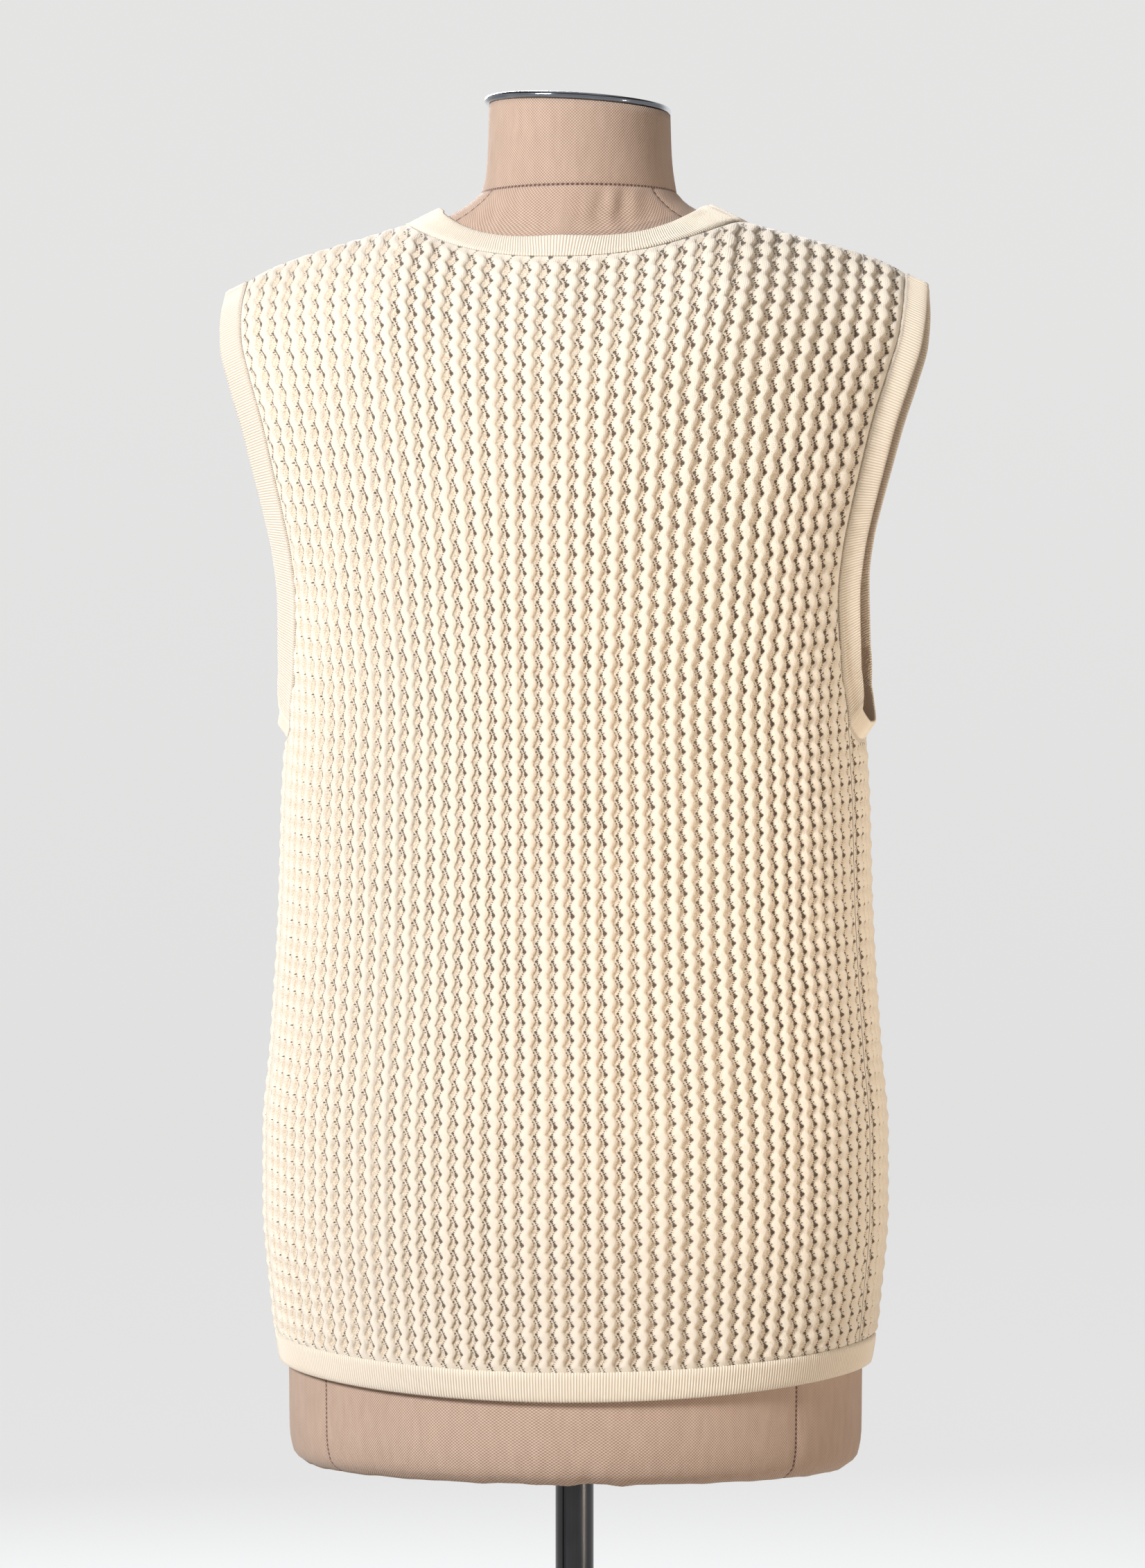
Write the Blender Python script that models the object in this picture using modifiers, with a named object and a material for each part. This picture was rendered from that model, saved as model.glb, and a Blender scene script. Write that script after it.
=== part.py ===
"""Sleeveless openwork cardigan hanging on a limbless dress form with a round stand.

Metres, +Z up, the front faces -Y, the origin is on the floor under the pole.
Heights in the tables are measured upward from the underside of the dress form.
"""

import math
from typing import NamedTuple

import bmesh
import bpy
from mathutils import Vector

# Stand
BASE_RADIUS = 0.210
BASE_EDGE = 0.006
BASE_TOP = 0.013
BASE_CROWN_RADIUS = 0.046
SOCKET_RADIUS = 0.021
SOCKET_FOOT = 0.006
SOCKET_TOP = 0.058
POLE_RADIUS = 0.011
POLE_SLOT_WIDTH = 0.002
POLE_SLOT_DEPTH = 0.003
POLE_SLOT_OFFSET = 0.0048
POLE_SLOT_BOTTOM = 0.080
FORM_UNDERSIDE = 0.620

# Dress form
NECK_TOP = 0.780
NECK_ROLL = math.radians(3.6)
NECK_TILT_START = 0.736
NECK_SHIFT = 0.003
NECK_SHIFT_START = 0.712
CAP_SHIFT = 0.0015
CAP_RADIUS = 0.054
CAP_THICKNESS = 0.004
CAP_CHAMFER = 0.0008
CAP_FORWARD = 0.0025
FORM_SIDES = 40

# Cloth
TOUCH_GAP = 0.0003
FORM_CLEARANCE = 0.0036
FORM_RIDGE_CLEARANCE = 0.0016
BAND_CLEARANCE = 0.0028
WALL = 0.0011
RIB_RISE = 0.0019
BAND_WALL = 0.0020
POINTS_A_COLUMN = 2
INNER_STRIDE = 4
RIB_SHARPNESS = math.radians(15.0)
EDGE_SHARPNESS = math.radians(40.0)
BACK_COLUMNS = 44
FRONT_COLUMNS = 30
FRONT_COLUMNS_ABOVE_UNDERARM = 22

# Cut of the panels
SEAM_ANGLE = math.radians(75.0)
ARC_EVENING = 0.075
HEM_SIDE = 0.060
HEM_DIP = 0.0115
HEM_BAND_WIDTH = 0.0157
HEM_BAND_STEPS = 64
UNDERARM = 0.414
UNDERARM_SEAM = 0.422
UNDERARM_FRONT = 0.440
UNDERARM_LOWEST_AT = 0.90
NECK_HALF_WIDTH = 0.097
NECK_POINT_HEIGHT = 0.714
BACK_NECK_HEIGHT = 0.688
FRONT_NECK_HEIGHT = 0.628
TIP_HALF_WIDTH = 0.1905
SHOULDER_SLOPE = 0.280
SHOULDER_DROP = 0.0055
SHOULDER_DROP_POWER = 8.0
SHOULDER_ROUNDING = 0.090
SHOULDER_FULLNESS = 0.55
NECKLINE_POWER = 2.4
BACK_NECK_RISE = 37.0
SIDE_NECK_RISE = 26.0
FRONT_NECK_RISE = 64.0
NECK_BAND_WIDTH = 0.0205
ARMHOLE_BAND_WIDTH = 0.0135
ARMHOLE_BEND = 0.0025
BAND_FLARE_LOW = 0.30
BAND_FLARE_HIGH = 0.90
BAND_CLOSING = 0.42
BUTTON_BAND_HALF = 0.0130
BUTTON_BAND_CROWN = 0.0006
BUTTON_BAND_TOP = 0.6456
BAND_FOOT_SLOPE = 0.032

# Shape of the panels above the underarm
JOIN_SHARE = 0.10
COLUMN_EVENING = 0.8
CROWN_FULLNESS = 0.85
NECK_STRETCH = 0.030
SHOULDER_STRETCH = 0.070
EDGE_STRETCH = 0.85
SEAT_SOFTNESS = 0.002

# Buttons
BUTTON_COUNT = 6
BUTTON_RADIUS = 0.0075
BUTTON_THICKNESS = 0.0030
BUTTON_RIM = 0.0012
BUTTON_WELL = 0.0007
BUTTON_SIDES = 20
LOWEST_BUTTON = 0.078
HIGHEST_BUTTON = 0.612


class Ring(NamedTuple):
    """Level section: half its width, and how far it reaches behind and before the pole's axis.

    A fullness of 2 is an ellipse, and less draws its two sides out to a ridge.
    """

    height: float
    half_width: float
    back: float
    front: float
    fullness: float = 2.0


class ArmholeRow(NamedTuple):
    """Cut edge of the armhole at one share of the way from the underarm to the shoulder tip."""

    share: float
    half_width: float
    back: float
    front: float


FORM_RINGS = (
    Ring(0.000, 0.1560, 0.1040, 0.1040),
    Ring(0.006, 0.1630, 0.1110, 0.1110),
    Ring(0.020, 0.1655, 0.1140, 0.1140),
    Ring(0.060, 0.1660, 0.1155, 0.1150),
    Ring(0.120, 0.1700, 0.1200, 0.1185),
    Ring(0.170, 0.1670, 0.1180, 0.1150),
    Ring(0.240, 0.1440, 0.1040, 0.1010),
    Ring(0.318, 0.1200, 0.0880, 0.0900),
    Ring(0.380, 0.1280, 0.0930, 0.1080),
    Ring(0.450, 0.1430, 0.1040, 0.1260),
    Ring(0.510, 0.1500, 0.1080, 0.1190),
    Ring(0.560, 0.1580, 0.1080, 0.1060),
    Ring(0.605, 0.1660, 0.1020, 0.0940),
    Ring(0.640, 0.1700, 0.0920, 0.0840),
    Ring(0.6640, 0.1685, 0.0808, 0.0757, 1.8),
    Ring(0.6810, 0.1660, 0.0702, 0.0678, 1.6),
    Ring(0.6930, 0.1640, 0.0633, 0.0624, 1.42),
    Ring(0.6994, 0.1445, 0.0592, 0.0607, 1.36),
    Ring(0.7050, 0.1235, 0.0566, 0.0604, 1.34),
    Ring(0.7090, 0.1055, 0.0555, 0.0603, 1.36),
    Ring(0.7136, 0.0890, 0.0544, 0.0614, 1.48),
    Ring(0.7190, 0.0740, 0.0535, 0.0610, 1.75),
    Ring(0.728, 0.0600, 0.0525, 0.0600),
    Ring(0.736, 0.0552, 0.0520, 0.0590),
    Ring(0.757, 0.0530, 0.0510, 0.0560),
    Ring(0.780, 0.0523, 0.0505, 0.0555),
)

GARMENT_RINGS = (
    Ring(0.040, 0.1675, 0.1185, 0.1180),
    Ring(0.095, 0.1735, 0.1240, 0.1225),
    Ring(0.150, 0.1780, 0.1290, 0.1270),
    Ring(0.191, 0.1780, 0.1290, 0.1275),
    Ring(0.240, 0.1740, 0.1260, 0.1270),
    Ring(0.323, 0.1690, 0.1210, 0.1265),
    Ring(0.379, 0.1675, 0.1185, 0.1280),
    Ring(0.430, 0.1650, 0.1175, 0.1300),
    Ring(0.470, 0.1640, 0.1170, 0.1300),
    Ring(0.530, 0.1640, 0.1160, 0.1230),
    Ring(0.600, 0.1640, 0.1120, 0.1080),
    Ring(0.714, 0.1640, 0.1040, 0.0920),
)

ARMHOLE_ROWS = (
    ArmholeRow(0.00, 0.1590, 0.0305, 0.0355),
    ArmholeRow(0.14, 0.1560, 0.0375, 0.0420),
    ArmholeRow(0.28, 0.1545, 0.0420, 0.0455),
    ArmholeRow(0.38, 0.1570, 0.0440, 0.0475),
    ArmholeRow(0.47, 0.1615, 0.0450, 0.0480),
    ArmholeRow(0.57, 0.1675, 0.0445, 0.0470),
    ArmholeRow(0.68, 0.1745, 0.0425, 0.0450),
    ArmholeRow(0.78, 0.1825, 0.0380, 0.0400),
    ArmholeRow(0.87, 0.1888, 0.0305, 0.0315),
    ArmholeRow(0.95, 0.1905, 0.0175, 0.0180),
    ArmholeRow(1.00, TIP_HALF_WIDTH, 0.0000, 0.0000),
)

LOWER_SHARES = (0.0, 0.12, 0.26, 0.41, 0.56, 0.71, 0.86, 1.0)
UPPER_SHARES = (0.10, 0.22, 0.35, 0.48, 0.60, 0.71, 0.80, 0.88, 0.94, 0.98, 1.0)


def smooth_read(table, column, at):
    """The named column of a table at this place, on a monotone cubic through its rows."""
    places = [row[0] for row in table]
    values = [getattr(row, column) for row in table]
    if at <= places[0]:
        return values[0]
    if at >= places[-1]:
        return values[-1]
    index = max(i for i, place in enumerate(places) if place <= at)
    slopes = [
        (values[i + 1] - values[i]) / (places[i + 1] - places[i])
        for i in range(len(places) - 1)
    ]

    def tangent(i):
        if i in (0, len(places) - 1):
            return slopes[0] if i == 0 else slopes[-1]
        before, after = slopes[i - 1], slopes[i]
        if before * after <= 0.0:
            return 0.0
        return 2.0 * before * after / (before + after)

    width = places[index + 1] - places[index]
    share = (at - places[index]) / width
    rest = 1.0 - share
    return (
        values[index] * (1.0 + 2.0 * share) * rest * rest
        + tangent(index) * width * share * rest * rest
        + values[index + 1] * share * share * (3.0 - 2.0 * share)
        - tangent(index + 1) * width * share * share * rest
    )


def mix(a, b, share):
    """Value at a share of the way from a to b."""
    return a + (b - a) * share


def clamp(value):
    """Value held between 0 and 1."""
    return min(1.0, max(0.0, value))


def ring_point(table, angle, height):
    """Point of a ring at this angle from the centre of the back, positive towards +X."""
    half_width = smooth_read(table, "half_width", height)
    side = "back" if math.cos(angle) > 0.0 else "front"
    depth = smooth_read(table, side, height)
    power = 2.0 / smooth_read(table, "fullness", height)
    across = math.copysign(abs(math.sin(angle)) ** power, math.sin(angle))
    along = math.copysign(abs(math.cos(angle)) ** power, math.cos(angle))
    return Vector((half_width * across, depth * along, height))


def form_depth(x, height, side):
    """How far the form's surface lies from the plane through its axis, at this x and height."""
    half_width = smooth_read(FORM_RINGS, "half_width", height)
    if abs(x) >= half_width or height > NECK_TOP:
        return 0.0
    fullness = smooth_read(FORM_RINGS, "fullness", height)
    share = (1.0 - (abs(x) / half_width) ** fullness) ** (1.0 / fullness)
    return smooth_read(FORM_RINGS, side, height) * share


def cloth_on_form(x, height, side):
    """Least depth at which cloth lies on the form at this x and height."""
    return form_depth(x, height - FORM_RIDGE_CLEARANCE, side) + FORM_CLEARANCE


def clear_of_form(point, margin):
    """The point, or where it is moved level and outward to when it is nearer the form."""
    level = point.z - margin
    half_width = smooth_read(FORM_RINGS, "half_width", level) + margin
    side = "back" if point.y > 0.0 else "front"
    depth = smooth_read(FORM_RINGS, side, level) + margin
    fullness = smooth_read(FORM_RINGS, "fullness", level)
    reach = (abs(point.x) / half_width) ** fullness + (abs(point.y) / depth) ** fullness
    reach **= 1.0 / fullness
    if reach >= 1.0:
        return point
    return Vector((point.x / reach, point.y / reach, point.z))


def larger(a, b, softness):
    """The larger of two lengths, with a rounded change from one to the other."""
    return 0.5 * (a + b + math.sqrt((a - b) ** 2 + softness**2))


def evened_angle(start, end, share):
    """Angle at a share of the way round an oval, so that even shares are about even lengths."""
    angle = mix(start, end, share)
    uneven = math.sin(2.0 * angle) - mix(math.sin(2.0 * start), math.sin(2.0 * end), share)
    return angle - ARC_EVENING * uneven


def hem_height(angle):
    """Top of the hem band at this angle from the centre of the back."""
    return HEM_SIDE + HEM_BAND_WIDTH - HEM_DIP * abs(math.cos(angle)) ** 1.5


def shoulder_seam(x):
    """Height and steepness of the shoulder seam at this x: straight, then rounded off at the tip."""
    span = TIP_HALF_WIDTH - NECK_HALF_WIDTH
    share = max(0.0, abs(x) - NECK_HALF_WIDTH) / span
    fall = SHOULDER_SLOPE * share * span + SHOULDER_DROP * share**SHOULDER_DROP_POWER
    rounding = SHOULDER_DROP_POWER * SHOULDER_DROP * share ** (SHOULDER_DROP_POWER - 1.0) / span
    return NECK_POINT_HEIGHT - fall, SHOULDER_SLOPE + rounding


def top_edge(x, side):
    """Height and depth of the panel's top edge: the neckline, then the shoulder seam."""
    if abs(x) >= NECK_HALF_WIDTH:
        return shoulder_seam(x)[0], TOUCH_GAP / 2
    lowest = BACK_NECK_HEIGHT if side == "back" else FRONT_NECK_HEIGHT
    height = mix(lowest, NECK_POINT_HEIGHT, (abs(x) / NECK_HALF_WIDTH) ** NECKLINE_POWER)
    depth = cloth_on_form(x, height, side)
    fade_length = 0.003
    fade = clamp((NECK_HALF_WIDTH - abs(x)) / fade_length)
    return height, mix(TOUCH_GAP / 2, depth, math.sqrt(fade))


def neck_rise(point):
    """Slope of the cloth round the neck, from level, at this point of the neckline."""
    angle = Vector((point.x, point.y)).angle(Vector((0.0, 1.0)))
    if angle < math.pi / 2:
        return math.radians(mix(BACK_NECK_RISE, SIDE_NECK_RISE, math.sin(angle)))
    return math.radians(mix(SIDE_NECK_RISE, FRONT_NECK_RISE, -math.cos(angle)))


def neck_directions(point):
    """Direction up the neck and direction out of the cloth, at this point of the neckline."""
    beyond = max(0.0, abs(point.x) - BUTTON_BAND_HALF - TOUCH_GAP)
    radial = Vector((math.copysign(beyond, point.x), point.y, 0.0)).normalized()
    rise = neck_rise(point)
    up = Vector((0.0, 0.0, 1.0))
    up_neck = up * math.sin(rise) - radial * math.cos(rise)
    outward = up * math.cos(rise) + radial * math.sin(rise)
    return up_neck, outward


def top_normal(point):
    """Unit vector out of the cloth on the top edge of a panel."""
    if abs(point.x) < NECK_HALF_WIDTH:
        return neck_directions(point)[1]
    return Vector((math.copysign(shoulder_seam(point.x)[1], point.x), 0.0, 1.0)).normalized()


class Panel:
    """Inner surface of a knitted panel, read at a share of its width and at a level.

    Level 0 is at the hem band, 1 at the underarm and 2 at the neckline and shoulder seam.
    Across the back the share runs from the right side seam to the left one. Across a front it
    runs from the straight front edge to the side seam, or to the armhole above the underarm.
    """

    def __init__(self, side, hand):
        self.side = side
        self.hand = hand
        if side == "back":
            self.outward = 1.0
            self.columns = BACK_COLUMNS
            self.upper_columns = BACK_COLUMNS
        else:
            self.outward = -1.0
            self.columns = FRONT_COLUMNS
            self.upper_columns = FRONT_COLUMNS_ABOVE_UNDERARM

    def angle(self, across, height):
        """Angle from the centre of the back, below the underarm."""
        if self.side == "back":
            return evened_angle(-SEAM_ANGLE, SEAM_ANGLE, across)
        half_width = smooth_read(GARMENT_RINGS, "half_width", height)
        front_edge = math.asin((BUTTON_BAND_HALF + TOUCH_GAP) / half_width)
        least_radius = 0.4 * half_width
        side_edge = math.pi - SEAM_ANGLE - TOUCH_GAP / least_radius
        return self.hand * (math.pi - evened_angle(front_edge, side_edge, across))

    def underarm_height(self, across):
        """Height at which the upper part starts, with the armhole's curve in a front's outer part."""
        if self.side == "back":
            return UNDERARM_SEAM
        limit = self.upper_columns / self.columns
        if across <= limit:
            return UNDERARM_FRONT
        from_lowest = (across - UNDERARM_LOWEST_AT) / (UNDERARM_LOWEST_AT - limit)
        return mix(UNDERARM, UNDERARM_FRONT, min(1.0, from_lowest**2))

    def lower(self, across, share):
        """Inner point between the hem band and the underarm."""
        bottom = hem_height(self.angle(across, HEM_SIDE)) + TOUCH_GAP
        height = mix(bottom, self.underarm_height(across), share)
        return ring_point(GARMENT_RINGS, self.angle(across, height), height)

    def upper(self, across, share):
        """Inner point between the underarm and the neckline or shoulder seam."""
        if self.side == "back":
            place = mix(-1.0, 1.0, across)
            hand = 1.0
            inner_edge = 0.0
        else:
            place = across * self.columns / self.upper_columns
            hand = self.hand
            inner_edge = BUTTON_BAND_HALF + TOUCH_GAP
        base = self.lower(across, 1.0)
        x = self.upper_x(place, inner_edge, share, abs(base.x))
        top_x = inner_edge + (TIP_HALF_WIDTH - inner_edge) * place
        top_height, top_depth = top_edge(top_x, self.side)
        height = mix(base.z, top_height, share)
        depth = self.upper_depth(place, share, height)
        depth = self.close_over_shoulder(place, share, depth, top_x, top_depth, height, top_height)
        depth = mix(abs(base.y), depth, clamp(share / JOIN_SHARE))
        if share < 1.0:
            depth = larger(depth, cloth_on_form(x, height, self.side), SEAT_SOFTNESS)
        return Vector((hand * x, self.outward * depth, height))

    def upper_x(self, place, inner_edge, share, base_x):
        """Distance to the side: even lengths round the underarm, even widths at the shoulder."""
        edge_x = smooth_read(ARMHOLE_ROWS, "half_width", share)
        angle = evened_angle(-SEAM_ANGLE, SEAM_ANGLE, (place + 1.0) / 2.0)
        even_lengths = math.sin(angle) / math.sin(SEAM_ANGLE)
        width = mix(even_lengths, place, share**COLUMN_EVENING)
        x = inner_edge + (edge_x - inner_edge) * width
        return mix(math.copysign(base_x, place), x, clamp(share / JOIN_SHARE))

    def upper_depth(self, place, share, height):
        """Depth of the rounded cloth between the armholes, before it closes over the shoulder."""
        edge = smooth_read(ARMHOLE_ROWS, self.side, share)
        centre = smooth_read(GARMENT_RINGS, self.side, height)
        lowest = math.cos(SEAM_ANGLE)
        angle = evened_angle(-SEAM_ANGLE, SEAM_ANGLE, (place + 1.0) / 2.0)
        crown = max(0.0, (math.cos(angle) - lowest) / (1.0 - lowest))
        return edge + (centre - edge) * crown ** mix(1.0, CROWN_FULLNESS, share)

    def close_over_shoulder(self, place, share, depth, top_x, top_depth, height, top_height):
        """Depth drawn in towards the top edge over the last stretch below it."""
        edge = smooth_read(ARMHOLE_ROWS, self.side, share)
        rise = clamp(1.0 - (top_height - height) / SHOULDER_ROUNDING)
        towards_tip = clamp((abs(top_x) - NECK_STRETCH) / SHOULDER_STRETCH)
        closing = (1.0 - rise**2) ** mix(1.0, SHOULDER_FULLNESS, towards_tip)
        between = top_depth + (depth - top_depth) * closing
        beside_armhole = edge + (depth - edge) * closing
        near_edge = clamp((abs(place) - EDGE_STRETCH) / (1.0 - EDGE_STRETCH))
        return mix(between, beside_armhole, near_edge)

    def point(self, across, level):
        """Inner point at this share of the width and this level."""
        if level <= 1.0:
            return self.lower(across, level)
        return self.upper(across, level - 1.0)

    def normal(self, across, level):
        """Unit vector out of the cloth."""
        if level == 2.0:
            return top_normal(self.point(across, level))
        step = 0.004
        before = self.point(clamp(across - step), level)
        after = self.point(min(self.last_across(level), across + step), level)
        below = self.point(across, max(0.0, level - step))
        above = self.point(across, min(2.0, level + step))
        found = (after - before).cross(above - below).normalized()
        rough_guess = Vector((3.0 * before.x, self.outward, 0.3))
        return found if found.dot(rough_guess) > 0.0 else -found

    def last_across(self, level):
        """Share of the width at which the panel ends at this level."""
        return 1.0 if level <= 1.0 else self.upper_columns / self.columns

    def levels(self):
        """Levels of the rows of points, from the hem band to the top edge."""
        return list(LOWER_SHARES) + [1.0 + share for share in UPPER_SHARES]


def new_material(name, colour, roughness, metallic=0.0):
    """Material with one plain Principled shader."""
    material = bpy.data.materials.new(name)
    material.use_nodes = True
    shader = material.node_tree.nodes["Principled BSDF"]
    shader.inputs["Base Color"].default_value = (*colour, 1.0)
    shader.inputs["Roughness"].default_value = roughness
    shader.inputs["Metallic"].default_value = metallic
    return material


def add_object(name, mesh, material, collection, sharp=EDGE_SHARPNESS):
    """Object on this mesh, raised to the height of the form."""
    mesh.materials.append(material)
    mesh.shade_smooth()
    mesh.set_sharp_from_angle(angle=sharp)
    made = bpy.data.objects.new(name, mesh)
    collection.objects.link(made)
    made.location.z = FORM_UNDERSIDE
    return made


def finish_mesh(name, bm):
    """Mesh with its faces turned outward."""
    bmesh.ops.recalc_face_normals(bm, faces=bm.faces)
    mesh = bpy.data.meshes.new(name)
    bm.to_mesh(mesh)
    bm.free()
    return mesh


def knit_wall(name, panel, material, collection):
    """Panel as one closed wall: ribs in its outer points, a plain inner side with fewer points."""
    bm = bmesh.new()
    levels = panel.levels()
    outer, inner, last = [], [], []
    for level in levels:
        columns = panel.columns if level <= 1.0 else panel.upper_columns
        count = columns * POINTS_A_COLUMN
        outer_row, inner_row = [], {}
        for index in range(count + 1):
            across = index / (panel.columns * POINTS_A_COLUMN)
            base = panel.point(across, level)
            normal = panel.normal(across, level)
            rise = WALL + (RIB_RISE if index % POINTS_A_COLUMN else 0.0)
            outer_row.append(bm.verts.new(base + normal * rise))
            if index % INNER_STRIDE == 0:
                inner_row[index] = bm.verts.new(base)
        outer.append(outer_row)
        inner.append(inner_row)
        last.append(count)
    for row in range(len(levels) - 1):
        end = min(last[row], last[row + 1])
        for index in range(end):
            bm.faces.new(
                (
                    outer[row][index],
                    outer[row][index + 1],
                    outer[row + 1][index + 1],
                    outer[row + 1][index],
                )
            )
        for index in range(0, end, INNER_STRIDE):
            ahead = index + INNER_STRIDE
            bm.faces.new(
                (
                    inner[row][index],
                    inner[row + 1][index],
                    inner[row + 1][ahead],
                    inner[row][ahead],
                )
            )
        for index in (0, end):
            bm.faces.new(
                (
                    outer[row][index],
                    inner[row][index],
                    inner[row + 1][index],
                    outer[row + 1][index],
                )
            )
    close_rim(bm, outer[0], inner[0], 0, last[0])
    for row, end in enumerate(last):
        start = last[row + 1] if row + 1 < len(last) else 0
        close_rim(bm, outer[row], inner[row], start, end)
    return add_object(name, finish_mesh(name, bm), material, collection, RIB_SHARPNESS)


def close_rim(bm, outer_row, inner_row, start, end):
    """Faces between the many outer points and the few inner points of one cut edge."""
    for index in range(start, end, INNER_STRIDE):
        middle = index + INNER_STRIDE // 2
        ahead = index + INNER_STRIDE
        for step in range(index, ahead):
            corner = inner_row[index] if step < middle else inner_row[ahead]
            bm.faces.new((corner, outer_row[step], outer_row[step + 1]))
        bm.faces.new((inner_row[index], outer_row[middle], inner_row[ahead]))


def strip_wall(name, lines, closed, thickness, material, collection):
    """Band through matching lines of points, one line for each place across it, made solid."""
    bm = bmesh.new()
    rows = [[bm.verts.new(point) for point in line] for line in lines]
    count = len(rows[0])
    for near, far in zip(rows, rows[1:]):
        for index in range(count if closed else count - 1):
            ahead = (index + 1) % count
            bm.faces.new((near[index], near[ahead], far[ahead], far[index]))
    made = add_object(name, finish_mesh(name, bm), material, collection)
    solid = made.modifiers.new("Wall", "SOLIDIFY")
    solid.thickness = thickness
    solid.offset = 0.0
    solid.use_even_offset = True
    return made


def form_torso(material, collection):
    """Form turned through its rings, with the top of its neck rolled to one side."""
    bm = bmesh.new()
    rings = []
    for ring in FORM_RINGS:
        points = []
        for step in range(FORM_SIDES):
            point = ring_point(FORM_RINGS, 2.0 * math.pi * step / FORM_SIDES, ring.height)
            tilt = clamp((ring.height - NECK_TILT_START) / (NECK_TOP - NECK_TILT_START))
            point.z += point.x * math.tan(NECK_ROLL) * tilt
            shift = (ring.height - NECK_SHIFT_START) / (NECK_TILT_START - NECK_SHIFT_START)
            point.x -= NECK_SHIFT * clamp(shift)
            points.append(bm.verts.new(point))
        rings.append(points)
    for lower, upper in zip(rings, rings[1:]):
        for index in range(FORM_SIDES):
            ahead = (index + 1) % FORM_SIDES
            bm.faces.new((lower[index], lower[ahead], upper[ahead], upper[index]))
    bm.faces.new(rings[0])
    bm.faces.new(rings[-1])
    return add_object("form_torso", finish_mesh("form_torso", bm), material, collection)


def turned(name, profile, steps, material, collection):
    """Solid turned round Z from a profile of (radius, height), top to bottom."""
    bm = bmesh.new()
    points = [bm.verts.new((radius, 0.0, height)) for radius, height in profile]
    for before, after in zip(points, points[1:]):
        bm.edges.new((before, after))
    mesh = bpy.data.meshes.new(name)
    bm.to_mesh(mesh)
    bm.free()
    made = add_object(name, mesh, material, collection)
    screw = made.modifiers.new("Turn", "SCREW")
    screw.steps = steps
    screw.render_steps = steps
    screw.use_merge_vertices = True
    screw.merge_threshold = 0.00001
    screw.use_smooth_shade = True
    return made


def neck_cap(material, collection):
    """Thin disc on the neck, level with its rolled top."""
    profile = (
        (0.0, CAP_THICKNESS),
        (CAP_RADIUS - CAP_CHAMFER, CAP_THICKNESS),
        (CAP_RADIUS, CAP_THICKNESS - CAP_CHAMFER),
        (CAP_RADIUS, CAP_CHAMFER),
        (CAP_RADIUS - CAP_CHAMFER, 0.0),
        (0.0, 0.0),
    )
    cap = turned("neck_cap", profile, 48, material, collection)
    cap.location = (-CAP_SHIFT, -CAP_FORWARD, FORM_UNDERSIDE + NECK_TOP + TOUCH_GAP)
    cap.rotation_euler = (0.0, -NECK_ROLL, 0.0)
    return cap


def stand_base(material, collection):
    """Round base with a low crown and a rolled rim."""
    profile = (
        (0.0, BASE_TOP),
        (BASE_CROWN_RADIUS, BASE_TOP),
        (BASE_RADIUS - 0.012, BASE_EDGE + 0.003),
        (BASE_RADIUS - 0.002, BASE_EDGE),
        (BASE_RADIUS, BASE_EDGE - 0.002),
        (BASE_RADIUS, 0.0),
        (0.0, 0.0),
    )
    base = turned("stand_base", profile, 64, material, collection)
    base.location.z = 0.0


def stand_collar(material, collection):
    """Collar round the pole's foot, with a flared lower edge."""
    bottom = BASE_TOP + TOUCH_GAP
    inside = POLE_RADIUS + TOUCH_GAP
    profile = (
        (inside, SOCKET_TOP),
        (SOCKET_RADIUS - 0.002, SOCKET_TOP),
        (SOCKET_RADIUS, SOCKET_TOP - 0.002),
        (SOCKET_RADIUS, bottom + 0.003),
        (SOCKET_RADIUS + SOCKET_FOOT, bottom),
        (inside, bottom),
        (inside, SOCKET_TOP),
    )
    collar = turned("stand_collar", profile, 32, material, collection)
    collar.location.z = 0.0


def move_to_collection(made, collection):
    """Link an object to this collection only."""
    for owner in made.users_collection:
        owner.objects.unlink(made)
    collection.objects.link(made)


def stand_pole(material, collection, cutters):
    """Pole from the base to the form, with an upright slot in its back."""
    bottom = BASE_TOP + TOUCH_GAP
    length = FORM_UNDERSIDE - TOUCH_GAP - bottom
    bpy.ops.mesh.primitive_cylinder_add(
        vertices=32, radius=POLE_RADIUS, depth=length, location=(0.0, 0.0, bottom + length / 2)
    )
    pole = bpy.context.object
    pole.name = "stand_pole"
    pole.data.materials.append(material)
    move_to_collection(pole, collection)
    bpy.ops.mesh.primitive_cube_add(size=1.0)
    cutter = bpy.context.object
    cutter.name = "pole_slot_cutter"
    cutter.scale = (POLE_SLOT_WIDTH, 2 * POLE_SLOT_DEPTH, length)
    cutter.location = (POLE_SLOT_OFFSET, POLE_RADIUS, POLE_SLOT_BOTTOM + length / 2)
    cutter.hide_render = True
    cutter.display_type = "WIRE"
    move_to_collection(cutter, cutters)
    slot = pole.modifiers.new("Slot", "BOOLEAN")
    slot.operation = "DIFFERENCE"
    slot.object = cutter
    pole.data.shade_smooth()
    pole.data.set_sharp_from_angle(angle=EDGE_SHARPNESS)


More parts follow.
